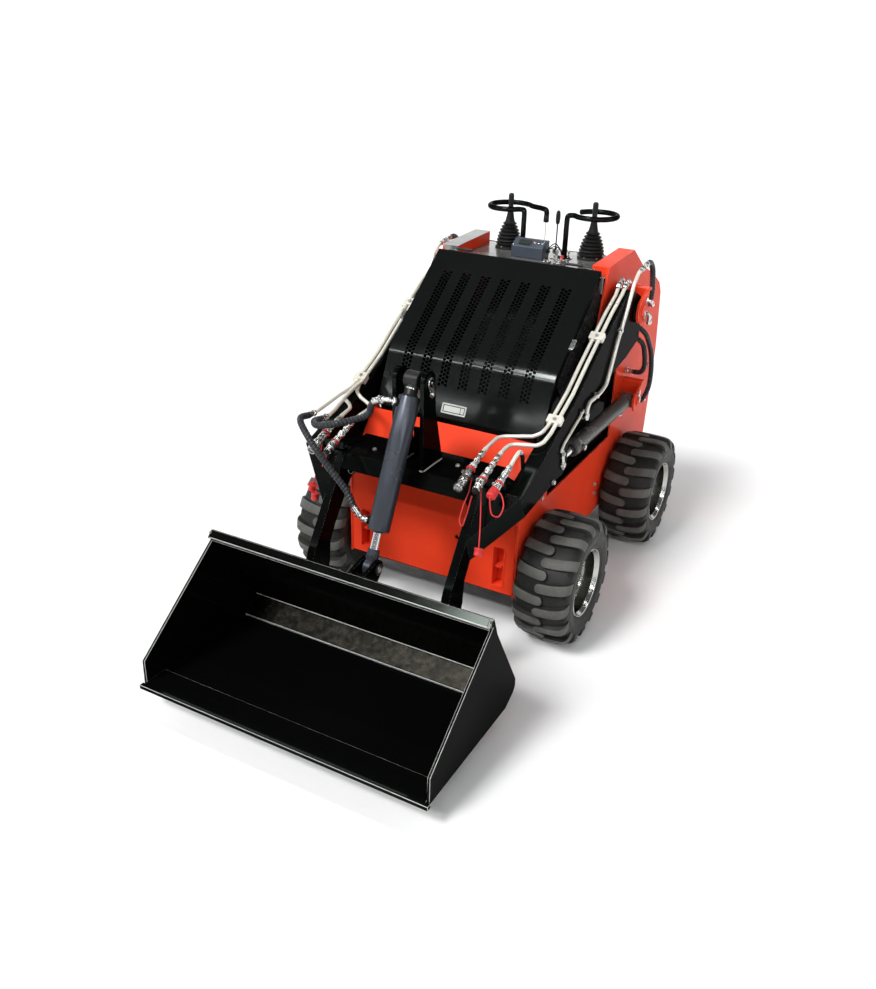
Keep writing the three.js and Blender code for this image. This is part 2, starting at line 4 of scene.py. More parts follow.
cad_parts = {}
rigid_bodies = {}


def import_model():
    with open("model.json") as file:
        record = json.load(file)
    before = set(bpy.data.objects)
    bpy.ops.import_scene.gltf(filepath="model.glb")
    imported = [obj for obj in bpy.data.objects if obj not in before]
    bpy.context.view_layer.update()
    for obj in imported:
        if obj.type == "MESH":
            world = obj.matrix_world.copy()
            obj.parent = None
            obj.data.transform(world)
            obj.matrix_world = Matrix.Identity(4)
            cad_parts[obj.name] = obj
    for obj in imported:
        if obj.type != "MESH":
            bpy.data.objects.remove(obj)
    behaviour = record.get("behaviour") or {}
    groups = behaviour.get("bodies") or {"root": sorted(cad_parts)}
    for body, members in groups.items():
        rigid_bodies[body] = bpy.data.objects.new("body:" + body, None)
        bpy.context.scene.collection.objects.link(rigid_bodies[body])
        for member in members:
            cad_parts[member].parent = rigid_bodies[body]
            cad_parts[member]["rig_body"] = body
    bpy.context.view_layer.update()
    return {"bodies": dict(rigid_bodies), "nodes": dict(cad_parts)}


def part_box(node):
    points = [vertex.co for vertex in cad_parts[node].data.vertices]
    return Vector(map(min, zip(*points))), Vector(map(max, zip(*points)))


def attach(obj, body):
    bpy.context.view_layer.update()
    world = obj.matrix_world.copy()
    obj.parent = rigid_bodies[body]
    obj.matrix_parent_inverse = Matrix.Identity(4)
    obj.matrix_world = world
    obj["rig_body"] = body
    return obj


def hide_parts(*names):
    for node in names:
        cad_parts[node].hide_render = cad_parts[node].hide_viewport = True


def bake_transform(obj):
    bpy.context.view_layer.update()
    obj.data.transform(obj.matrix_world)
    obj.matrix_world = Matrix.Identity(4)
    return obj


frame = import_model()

random.seed(7)
NODES, BODIES = frame["nodes"], frame["bodies"]
COLL = bpy.context.scene.collection
OY = -149.5                       # front-axle frame (mm) to the row frame


def P(x, y, z):
    return Vector((x * .001, (y + OY) * .001, z * .001))


# ============================================================== materials
def rgba(c):
    return (c[0], c[1], c[2], 1.0)


class Mat:
    """A node material built step by step around one Principled shader."""

    def __init__(self, name, **kw):
        self.m = bpy.data.materials.new(name)
        self.m.use_nodes = True
        self.t = self.m.node_tree
        self.b = self.t.nodes["Principled BSDF"]
        for k, v in kw.items():
            self.b.inputs[k].default_value = v
        self.co = self.t.nodes.new("ShaderNodeTexCoord").outputs["Object"]

    def node(self, kind, **kw):
        n = self.t.nodes.new(kind)
        for k, v in kw.items():
            setattr(n, k, v)
        return n

    def link(self, a, b):
        self.t.links.new(a, b)

    def noise(self, scale, detail=3.0, rough=0.5, stretch=None):
        n = self.node("ShaderNodeTexNoise")
        n.inputs["Scale"].default_value = scale
        n.inputs["Detail"].default_value = detail
        n.inputs["Roughness"].default_value = rough
        src = self.co
        if stretch:
            mp = self.node("ShaderNodeMapping")
            mp.inputs["Scale"].default_value = stretch
            self.link(self.co, mp.inputs["Vector"])
            src = mp.outputs["Vector"]
        self.link(src, n.inputs["Vector"])
        return n.outputs["Fac"]

    def ramp(self, fac, stops):
        r = self.node("ShaderNodeValToRGB")
        e = r.color_ramp.elements
        while len(e) < len(stops):
            e.new(0.5)
        for i, (p, c) in enumerate(stops):
            e[i].position = p
            e[i].color = rgba(c) if hasattr(c, "__len__") else (c, c, c, 1)
        self.link(fac, r.inputs["Fac"])
        return r.outputs["Color"]

    def mix(self, fac, a, b):
        n = self.node("ShaderNodeMix", data_type="RGBA")
        for sock, v in ((n.inputs["Factor"], fac), (n.inputs[6], a), (n.inputs[7], b)):
            if hasattr(v, "links"):
                self.link(v, sock)
            else:
                sock.default_value = v if not hasattr(v, "__len__") else rgba(v)
        return n.outputs[2]

    def math(self, op, a, b=0.0):
        n = self.node("ShaderNodeMath", operation=op)
        for s, v in ((n.inputs[0], a), (n.inputs[1], b)):
            if hasattr(v, "links"):
                self.link(v, s)
            else:
                s.default_value = v
        return n.outputs[0]

    def edge(self, lo=0.50, hi=0.56):
        g = self.node("ShaderNodeNewGeometry")
        return self.ramp(g.outputs["Pointiness"], [(lo, 0.0), (hi, 1.0)])

    def up(self, lo=0.6, hi=1.0):
        """1 on faces that look up, where dust settles"""
        g = self.node("ShaderNodeNewGeometry")
        x = self.node("ShaderNodeSeparateXYZ")
        self.link(g.outputs["Normal"], x.inputs[0])
        return self.ramp(x.outputs["Z"], [(lo, 0.0), (hi, 1.0)])

    def bump(self, height, strength, distance=0.001, normal=None):
        n = self.node("ShaderNodeBump")
        n.inputs["Strength"].default_value = strength
        n.inputs["Distance"].default_value = distance
        self.link(height, n.inputs["Height"])
        if normal is not None:
            self.link(normal, n.inputs["Normal"])
        return n.outputs["Normal"]

    def set(self, name, value):
        self.link(value, self.b.inputs[name])


def paint(name, base, shade, rough, dust=(0.3, 0.28, 0.25), coat=0.0, peel=0.06, dusty=0.10, edge=None, metallic=0.0, spec=0.22, ior=1.5, tint=None):
    m = Mat(name, **{"Coat Weight": coat, "Coat Roughness": 0.04, "Metallic": metallic, "Specular IOR Level": spec, "IOR": ior})
    if tint is not None:
        m.b.inputs["Specular Tint"].default_value = rgba(tint)
    cloud = m.noise(3.5, 4, 0.55)
    c = m.mix(m.ramp(cloud, [(0.3, 0.0), (0.75, 1.0)]), base, shade)
    if edge is not None:
        worn = m.math("MULTIPLY", m.edge(0.56, 0.68), m.ramp(m.noise(60, 4, 0.6), [(0.5, 0.0), (0.62, 1.0)]))
        c = m.mix(worn, c, edge)
    speck = m.ramp(m.noise(230, 3, 0.6), [(0.52, 0.0), (0.74, 1.0)])
    film = m.math("MULTIPLY", m.math("MULTIPLY", m.up(0.35, 1.0), speck), dusty)
    c = m.mix(film, c, dust)
    m.set("Base Color", c)
    smudge = m.noise(9, 5, 0.62)
    m.set("Roughness", m.ramp(smudge, [(0.25, rough * 0.72), (0.8, rough * 1.5)]))
    m.set("Normal", m.bump(m.noise(420, 2, 0.5), peel, 0.0006, m.bump(m.noise(18, 3, 0.5), peel * 0.5, 0.002)))
    return m.m


RED = paint("red_gloss_paint", (0.80, 0.056, 0.020), (0.74, 0.046, 0.015), 0.20, coat=0.0, spec=0.5, ior=1.09, peel=0.02, edge=None, dusty=0.0)
BLACK = paint("black_gloss_paint", (0.0105, 0.0125, 0.0112), (0.0135, 0.0155, 0.0142), 0.11, coat=0.0, edge=None, dusty=0.0, peel=0.018, metallic=0.86, tint=(0.0, 0.0, 0.0))
HOODM = paint("black_hood_paint", (0.0260, 0.0280, 0.0270), (0.0310, 0.0330, 0.0325), 0.12, coat=0.0, edge=None, dusty=0.0, peel=0.012, metallic=0.82, tint=(0.02, 0.02, 0.02))
SLATE = paint("slate_grey_paint", (0.066, 0.072, 0.086), (0.052, 0.058, 0.070), 0.22, coat=0.0, edge=None, dusty=0.0, metallic=0.55, tint=(0.05, 0.05, 0.05), peel=0.02)
OLIVE = paint("olive_grey_paint", (0.098, 0.092, 0.083), (0.078, 0.073, 0.066), 0.24, coat=0.0, edge=None, dusty=0.0, metallic=0.3, spec=0.5, ior=1.4, peel=0.02)
SATIN = paint("satin_black_steel", (0.012, 0.0125, 0.0125), (0.02, 0.02, 0.0205), 0.38, coat=0.0, edge=(0.06, 0.06, 0.06), dusty=0.03)


def metal(name, base, shade, rough, grain=(1, 1, 40), scale=60, bump=0.04):
    m = Mat(name, Metallic=1.0)
    c = m.mix(m.ramp(m.noise(14, 4, 0.6), [(0.3, 0.0), (0.7, 1.0)]), base, shade)
    m.set("Base Color", c)
    m.set("Roughness", m.ramp(m.noise(scale, 4, 0.6, grain), [(0.25, rough * 0.7), (0.8, rough * 1.45)]))
    m.set("Normal", m.bump(m.noise(scale * 3, 2, 0.5, grain), bump, 0.0004))
    return m.m


CHROME = metal("hard_chrome", (0.82, 0.82, 0.83), (0.74, 0.745, 0.76), 0.10, bump=0.015)
ZINC = paint("pale_zinc_tube", (0.80, 0.78, 0.70), (0.72, 0.69, 0.60), 0.32, metallic=0.35, spec=0.5, coat=0.0, dusty=0.02, edge=None)
STEEL = metal("bright_zinc_steel", (0.70, 0.70, 0.68), (0.56, 0.56, 0.545), 0.24, (1, 1, 1), 70, 0.05)
BOLTM = metal("zinc_bolts", (0.62, 0.61, 0.57), (0.48, 0.47, 0.44), 0.34, (1, 1, 1), 120, 0.06)
RIMM = metal("rim_silver", (0.60, 0.60, 0.57), (0.46, 0.46, 0.43), 0.22, (1, 1, 1), 40, 0.05)
# the dish and barrel below are darker copies of the rim's silver: painted shade inside the deep rim
RIM_DISH_SHADE = metal("rim_dish_painted_shade", (0.075, 0.075, 0.066), (0.040, 0.040, 0.035), 0.28, (1, 1, 1), 40, 0.08)
RIM_BARREL_SHADE = metal("rim_barrel_painted_shade", (0.19, 0.19, 0.17), (0.12, 0.12, 0.105), 0.20, (1, 1, 1), 30, 0.10)
# pale grey for bevel faces, seams and outlines: a painted highlight along edges
EDGE_HIGHLIGHT = paint("painted_edge_highlight", (0.56, 0.565, 0.54), (0.34, 0.345, 0.33), 0.30, coat=0.0, spec=0.5, ior=1.5, peel=0.02, edge=None, dusty=0.0, metallic=0.2)
# light red for the red plates' bevel faces: a painted highlight along edges
RED_EDGE_HIGHLIGHT = paint("painted_red_edge_highlight", (0.92, 0.20, 0.13), (0.86, 0.13, 0.08), 0.25, coat=0.0, spec=0.5, ior=1.4, peel=0.02, edge=None, dusty=0.0, metallic=0.3)
# grey metal for the deck, lightened as a painted reflection of the lights
DECK_SHEEN_METAL = paint("deck_metal_painted_sheen", (0.34, 0.345, 0.33), (0.10, 0.105, 0.10), 0.18, coat=0.0, spec=0.5, peel=0.10, edge=None, dusty=0.0, metallic=0.5)
HEELM = metal("worn_heel_band", (0.040, 0.037, 0.030), (0.020, 0.020, 0.017), 0.24, (1, 1, 1), 45, 0.12)
IRON = metal("cast_iron_block", (0.09, 0.09, 0.095), (0.055, 0.055, 0.06), 0.55, (1, 1, 1), 150, 0.4)


def rubber_mat(name, base, worn, rough, dust=0.35, bump=0.15):
    m = Mat(name, **{"IOR": 1.30})
    g = m.ramp(m.noise(11, 5, 0.65), [(0.3, 0.0), (0.72, 1.0)])
    c = m.mix(g, base, worn)
    speck = m.ramp(m.noise(160, 3, 0.6), [(0.5, 0.0), (0.75, 1.0)])
    c = m.mix(m.math("MULTIPLY", speck, dust), c, (0.16, 0.155, 0.14))
    m.set("Base Color", c)
    m.set("Roughness", m.ramp(m.noise(26, 4, 0.6), [(0.3, rough * 0.8), (0.75, min(1, rough * 1.2))]))
    m.set("Normal", m.bump(m.noise(320, 3, 0.6), bump, 0.0006))
    return m.m


TYRE = rubber_mat("tyre_rubber", (0.0095, 0.0100, 0.0092), (0.024, 0.0245, 0.0225), 0.50, 0.05)
# paler rubber for lug tops: scuffing plus a painted highlight
LUG_SCUFF_AND_SHEEN = rubber_mat("tyre_lug_tops_scuff_and_sheen", (0.060, 0.060, 0.055), (0.118, 0.117, 0.107), 0.60, 0.30, 0.25)
BOOT = rubber_mat("boot_rubber", (0.0055, 0.0055, 0.0055), (0.010, 0.010, 0.010), 0.52, 0.10)
HOSE = rubber_mat("hose_cover", (0.003, 0.003, 0.003), (0.006, 0.006, 0.006), 0.45, 0.02)
WRAP = rubber_mat("hose_spiral_guard", (0.022, 0.023, 0.026), (0.042, 0.044, 0.050), 0.24, 0.03)
REDRUB = rubber_mat("red_cap_rubber", (0.62, 0.040, 0.040), (0.50, 0.030, 0.032), 0.40, 0.04)
GREYP = rubber_mat("grey_instrument_plastic", (0.045, 0.055, 0.075), (0.060, 0.070, 0.090), 0.38, 0.05, 0.10)
BLACKP = rubber_mat("black_moulded_plastic", (0.010, 0.010, 0.0105), (0.016, 0.016, 0.0165), 0.33, 0.06, 0.08)
PADM = rubber_mat("operator_pad_foam", (0.012, 0.012, 0.0125), (0.02, 0.02, 0.02), 0.70, 0.10, 0.3)
GLASS = rubber_mat("display_dark_glass", (0.020, 0.028, 0.026), (0.026, 0.034, 0.030), 0.10, 0.0, 0.0)
PLATEM = metal("blank_data_plate", (0.46, 0.46, 0.44), (0.40, 0.40, 0.38), 0.42, (1, 1, 1), 90, 0.03)


# ================================================================= meshes
class B:
    """Collects vertices and faces, with a material per part, for one object."""

    def __init__(self):
        self.v, self.f, self.mi, self.mats = [], [], [], []

    def add(self, geo, mat):
        verts, faces = geo
        if mat not in self.mats:
            self.mats.append(mat)
        k, o = self.mats.index(mat), len(self.v)
        self.v += [tuple(p) for p in verts]
        self.f += [[i + o for i in fc] for fc in faces]
        self.mi += [k] * len(faces)
        return self

    def many(self, geos, mat):
        for g in geos:
            self.add(g, mat)
        return self

    def make(self, name, body, slot, bevel=0.0, angle=35, segs=2, replaces=(), bangle=30):
        me = bpy.data.meshes.new(name)
        me.from_pydata(self.v, [], self.f)
        for m in self.mats:
            me.materials.append(m)
        me.polygons.foreach_set("material_index", self.mi)
        me.validate()
        ob = bpy.data.objects.new(name, me)
        COLL.objects.link(ob)
        bm = bmesh.new()
        bm.from_mesh(me)
        bmesh.ops.recalc_face_normals(bm, faces=bm.faces)
        sharp(bm, angle)
        bm.to_mesh(me)
        bm.free()
        if bevel:
            soften(ob, bevel, segs, bangle)
        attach(ob, body)
        if replaces:
            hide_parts(*replaces)
        return ob


def sharp(bm, angle):
    lim = math.radians(angle)
    for f in bm.faces:
        f.smooth = True
    for e in bm.edges:
        if len(e.link_faces) == 2:
            e.smooth = e.calc_face_angle(0) < lim
        else:
            e.smooth = False


def soften(ob, width, segs=2, angle=30, mat=-1):
    bv = ob.modifiers.new("edge_round", "BEVEL")
    bv.width, bv.segments, bv.limit_method = width, segs, "ANGLE"
    bv.angle_limit = math.radians(angle)
    bv.use_clamp_overlap = True
    bv.material = mat
    bv.miter_outer = "MITER_ARC"
    wn = ob.modifiers.new("flat_shade", "WEIGHTED_NORMAL")
    wn.keep_sharp = False
    wn.weight = 60
    for p in ob.data.polygons:
        p.use_smooth = True
    if "sharp_edge" in ob.data.attributes:
        ob.data.attributes.remove(ob.data.attributes["sharp_edge"])


def frame_of(d):
    d = Vector(d).normalized()
    a = Vector((0, 0, 1)) if abs(d.z) < 0.9 else Vector((1, 0, 0))
    u = d.cross(a).normalized()
    return u, d.cross(u).normalized(), d


def lathe(profile, origin, axis, seg=32, wrap=False, caps=True):
    """profile: [(radius, height)] in mm about an axis; wrap closes the outline on itself"""
    u, w, d = frame_of(axis)
    verts, faces, rows = [], [], []
    for r, h in profile:
        if r < 1e-6:
            rows.append([len(verts)])
            verts.append(origin + d * (h * .001))
        else:
            rows.append(list(range(len(verts), len(verts) + seg)))
            for i in range(seg):
                a = 2 * math.pi * i / seg
                verts.append(origin + (u * math.cos(a) + w * math.sin(a)) * (r * .001) + d * (h * .001))
    pairs = list(zip(rows, rows[1:])) + ([(rows[-1], rows[0])] if wrap else [])
    for a, b in pairs:
        if len(a) == 1 and len(b) == 1:
            continue
        for i in range(seg):
            j = (i + 1) % seg
            if len(a) == 1:
                faces.append([a[0], b[j], b[i]])
            elif len(b) == 1:
                faces.append([a[i], a[j], b[0]])
            else:
                faces.append([a[i], a[j], b[j], b[i]])
    if not wrap and caps:
        if len(rows[0]) > 1:
            faces.append(list(reversed(rows[0])))
        if len(rows[-1]) > 1:
            faces.append(rows[-1])
    return verts, faces


def cyl(a, b, r, seg=24, chamfer=0.0, r2=None):
    """cylinder between two points (m), radius in mm, with chamfered ends"""
    L = (b - a).length * 1000
    r2 = r if r2 is None else r2
    c = chamfer
    prof = [(0, 0), (r - c, 0), (r, c), (r2, L - c), (r2 - c, L), (0, L)] if c else [(0, 0), (r, 0), (r2, L), (0, L)]
    return lathe(prof, a, b - a, seg)


def ring_tube(points, r, sides=10, closed=False, radii=None, caps=True):
    """tube (radius mm) through points (m), without twist"""
    n = len(points)
    tang = []
    for i in range(n):
        a = points[i - 1] if (i or closed) else points[0]
        b = points[(i + 1) % n] if (i < n - 1 or closed) else points[-1]
        t = (b - a)
        tang.append(t.normalized() if t.length > 1e-9 else tang[-1])
    u, w, _ = frame_of(tang[0])
    verts, faces = [], []
    for i in range(n):
        t = tang[i]
        u = (u - t * u.dot(t)).normalized()
        w = t.cross(u)
        rr = (radii[i] if radii else r) * .001
        for k in range(sides):
            a = 2 * math.pi * k / sides
            verts.append(points[i] + (u * math.cos(a) + w * math.sin(a)) * rr)
    for i in range(n if closed else n - 1):
        j = (i + 1) % n
        for k in range(sides):
            l = (k + 1) % sides
            faces.append([i * sides + k, i * sides + l, j * sides + l, j * sides + k])
    if not closed and caps:
        faces.append(list(range(sides))[::-1])
        faces.append([(n - 1) * sides + k for k in range(sides)])
    return verts, faces


def catmull(pts, step=0.006):
    """evenly spaced smooth curve through points (m)"""
    p = [pts[0] + (pts[0] - pts[1])] + list(pts) + [pts[-1] + (pts[-1] - pts[-2])]
    out = []
    for i in range(1, len(p) - 2):
        p0, p1, p2, p3 = p[i - 1], p[i], p[i + 1], p[i + 2]
        n = max(2, int((p2 - p1).length / step))
        t0 = 0.0
        t1 = t0 + max(1e-6, (p1 - p0).length) ** 0.5
        t2 = t1 + max(1e-6, (p2 - p1).length) ** 0.5
        t3 = t2 + max(1e-6, (p3 - p2).length) ** 0.5
        for k in range(n):
            t = t1 + (t2 - t1) * k / n
            a1 = p0 * ((t1 - t) / (t1 - t0)) + p1 * ((t - t0) / (t1 - t0))
            a2 = p1 * ((t2 - t) / (t2 - t1)) + p2 * ((t - t1) / (t2 - t1))
            a3 = p2 * ((t3 - t) / (t3 - t2)) + p3 * ((t - t2) / (t3 - t2))
            b1 = a1 * ((t2 - t) / (t2 - t0)) + a2 * ((t - t0) / (t2 - t0))
            b2 = a2 * ((t3 - t) / (t3 - t1)) + a3 * ((t - t1) / (t3 - t1))
            out.append(b1 * ((t2 - t) / (t2 - t1)) + b2 * ((t - t1) / (t2 - t1)))
    out.append(p[-2])
    return out


def fillet(pts, radius, n=7):
    """polyline with rounded corners (radius mm), as a bent metal tube"""
    out = [pts[0]]
    for a, b, c in zip(pts, pts[1:], pts[2:]):
        u, w = (a - b), (c - b)
        lu, lw = u.length, w.length
        u, w = u / lu, w / lw
        ang = math.acos(max(-1, min(1, u.dot(w))))
        if ang > math.pi - 0.02:
            out.append(b)
            continue
        t = min(radius * .001 / math.tan(ang / 2), lu * 0.48, lw * 0.48)
        p, q = b + u * t, b + w * t
        for k in range(n + 1):
            s = k / n
            out.append(p * (1 - s) ** 2 + b * 2 * s * (1 - s) + q * s * s)
    out.append(pts[-1])
    return out


def tri(outline, holes=()):
    """triangles of a flat outline with holes; points are 2-D"""
    loops = [outline] + list(holes)
    flat = [p for l in loops for p in l]
    t = geometry.tessellate_polygon([[Vector((p[0], p[1], 0)) for p in l] for l in loops])
    return flat, [list(x) for x in t]


def slab(outline, place, a, b, holes=()):
    """outline (2-D, mm) swept from a to b; place(u, v, w) gives the point"""
    loops = [list(outline)] + [list(h) for h in holes]
    n = sum(len(l) for l in loops)
    verts = [place(p[0], p[1], a) for l in loops for p in l] + [place(p[0], p[1], b) for l in loops for p in l]
    faces = []
    if holes:
        _, ts = tri(outline, holes)
        faces += [list(reversed(t)) for t in ts] + [[i + n for i in t] for t in ts]
    else:
        faces += [list(range(n))[::-1], [i + n for i in range(n)]]
    o = 0
    for l in loops:
        m = len(l)
        for i in range(m):
            j = (i + 1) % m
            faces.append([o + i, o + j, o + j + n, o + i + n])
        o += m
    return verts, faces


def plateX(outline, x0, x1, holes=()):
    return slab(outline, lambda u, v, w: P(w, u, v), x0, x1, holes)


def plateY(outline, y0, y1, holes=()):
    return slab(outline, lambda u, v, w: P(u, w, v), y0, y1, holes)


def plateZ(outline, z0, z1, holes=()):
    return slab(outline, lambda u, v, w: P(u, v, w), z0, z1, holes)


def cube(x0, x1, y0, y1, z0, z1):
    return plateZ([(x0, y0), (x1, y0), (x1, y1), (x0, y1)], z0, z1)


def circle(cx, cy, r, n=20, a0=0):
    return [(cx + r * math.cos(a0 + 2 * math.pi * i / n), cy + r * math.sin(a0 + 2 * math.pi * i / n)) for i in range(n)]


def arcp(cx, cy, r, a0, a1, n):
    return [(cx + r * math.cos(math.radians(a0 + (a1 - a0) * i / n)), cy + r * math.sin(math.radians(a0 + (a1 - a0) * i / n))) for i in range(n + 1)]


def slot_shape(x0, x1, y0, y1, r, n=5):
    return (arcp(x1 - r, y1 - r, r, 0, 90, n) + arcp(x0 + r, y1 - r, r, 90, 180, n)
            + arcp(x0 + r, y0 + r, r, 180, 270, n) + arcp(x1 - r, y0 + r, r, 270, 360, n))


def bolt(b, pos, d, af=17, mat=None, head=None, washer=True, shank=0):
    """hex bolt head with washer; af is the size across flats in mm"""
    mat = mat or BOLTM
    h = head or af * 0.42
    r = af / math.sqrt(3)
    d = Vector(d).normalized()
    if washer:
        b.add(lathe([(0, 0), (r * 1.12, 0), (r * 1.12, 1.6), (r * 1.02, 2.0), (0, 2.0)], pos, d, 20), mat)
    base = pos + d * 0.002 if washer else pos
    b.add(lathe([(0, 0), (r, 0), (r, h * 0.78), (r * 0.86, h), (0, h)], base, d, 6), mat)
    if shank:
        b.add(lathe([(0, 0), (af * 0.28, 0), (af * 0.28, h + shank - 1), (af * 0.22, h + shank), (0, h + shank)], base, d, 12), mat)


def hexnut(b, a, c, r, mat, seg=6):
    """hex body between two points"""
    L = (c - a).length * 1000
    b.add(lathe([(0, 0), (r * 0.88, 0), (r, L * 0.14), (r, L * 0.86), (r * 0.88, L), (0, L)], a, c - a, seg), mat)


def weld(b, pts, r, mat=None, step=0.0035):
    """rippled bead along points (m)"""
    mat = mat or BLACK
    out = []
    for a, c in zip(pts, pts[1:]):
        n = max(1, int((c - a).length / step))
        out += [a.lerp(c, k / n) for k in range(n)]
    out.append(pts[-1])
    radii = [r * (1 + 0.16 * math.sin(i * 1.9) + 0.10 * noise.noise(p * 160)) for i, p in enumerate(out)]
    radii[0] = radii[-1] = r * 0.5
    b.add(ring_tube(out, r, 7, radii=radii), mat)


def from_node(name, mat, bevel=0.0012, body=None, extra=None, segs=2, angle=30, new=None, cutters=(), line=None):
    """the CAD piece with rounded edges and a finish, standing for its node"""
    src = NODES[name]
    me = src.data.copy()
    me.name = "look_" + name
    bm = bmesh.new()
    bm.from_mesh(me)
    bmesh.ops.remove_doubles(bm, verts=bm.verts, dist=2e-5)
    bmesh.ops.dissolve_limit(bm, angle_limit=math.radians(0.6), verts=bm.verts, edges=bm.edges)
    bmesh.ops.recalc_face_normals(bm, faces=bm.faces)
    bm.to_mesh(me)
    bm.free()
    if "custom_normal" in me.attributes:
        me.attributes.remove(me.attributes["custom_normal"])
    me.materials.clear()
    me.materials.append(mat)
    me.polygons.foreach_set("material_index", [0] * len(me.polygons))
    ob = bpy.data.objects.new("look_" + name, me)
    COLL.objects.link(ob)
    for i, c in enumerate(cutters):
        cm = bpy.data.meshes.new("cutter")
        cm.from_pydata([tuple(v) for v in c[0]], [], c[1])
        co = bpy.data.objects.new("cutter", cm)
        COLL.objects.link(co)
        bmc = bmesh.new(); bmc.from_mesh(cm); bmesh.ops.recalc_face_normals(bmc, faces=bmc.faces); bmc.to_mesh(cm); bmc.free()
        md = ob.modifiers.new("cut", "BOOLEAN")
        md.operation, md.solver, md.object = "DIFFERENCE", "EXACT", co
        dg = bpy.context.evaluated_depsgraph_get()
        dg.update()
        fresh = bpy.data.meshes.new_from_object(ob.evaluated_get(dg))
        ob.modifiers.clear()
        ob.data = fresh
        ob.data.materials.clear()
        ob.data.materials.append(mat)
        bpy.data.objects.remove(co)
    bm = bmesh.new()
    bm.from_mesh(ob.data)
    sharp(bm, 30)
    bm.to_mesh(ob.data)
    bm.free()
    # line: material for the bevel faces, a painted highlight along every rounded edge
    if line is not None:
        ob.data.materials.append(line)
    if bevel:
        soften(ob, bevel, segs, angle, 1 if line is not None else -1)
    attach(ob, body or src["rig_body"])
    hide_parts(name)
    return ob


SIDES = (("left", 1), ("right", -1))


def mir(geo):
    return [Vector((-v[0], v[1], v[2])) for v in geo[0]], [list(reversed(f)) for f in geo[1]]


# ================================================================= camera
def place_camera():
    az, el, ro = math.radians(27.8), math.radians(26.2), math.radians(1.8)
    back = Vector((math.sin(az) * math.cos(el), -math.cos(az) * math.cos(el), math.sin(el)))
    right = Vector((0, 0, 1)).cross(back).normalized()
    upv = back.cross(right)
    R = right * math.cos(ro) + upv * math.sin(ro)
    U = -right * math.sin(ro) + upv * math.cos(ro)
    cam = bpy.data.cameras.new("camera")
    ob = bpy.data.objects.new("camera", cam)
    COLL.objects.link(ob)
    m = Matrix((R, U, back)).transposed().to_4x4()
    m.translation = P(-59.9, 0, 440.6) + back * 3.6426
    ob.matrix_world = m
    cam.sensor_fit = "HORIZONTAL"
    cam.sensor_width = 36.0
    cam.lens = 36.0 * 944.1 / 876.0
    cam.clip_end = 200
    bpy.context.scene.camera = ob


place_camera()

# ================================================================== tyres
TYRE_TOP = [(199, 106.2), (212, 105.2), (225, 101.5), (234, 92.5), (238.5, 78), (240.8, 50), (241.4, 20), (241.5, 0), (241.4, -16)]
TYRE_LOW = [(197, 103.5), (205, 101.5), (212, 96), (218, 86), (222, 70), (225, 48), (226, 20), (226.2, 0), (226, -14)]


def along(prof, t):
    """point at share t of a polyline of (r, x)"""
    seg = [math.dist(a, b) for a, b in zip(TYRE_TOP, TYRE_TOP[1:])]
    total = sum(seg)
    s = t * total
    for i, l in enumerate(seg):
        if s <= l or i == len(seg) - 1:
            k = min(1.0, s / l)
            a, b = prof[i], prof[i + 1]
            return a[0] + (b[0] - a[0]) * k, a[1] + (b[1] - a[1]) * k
        s -= l


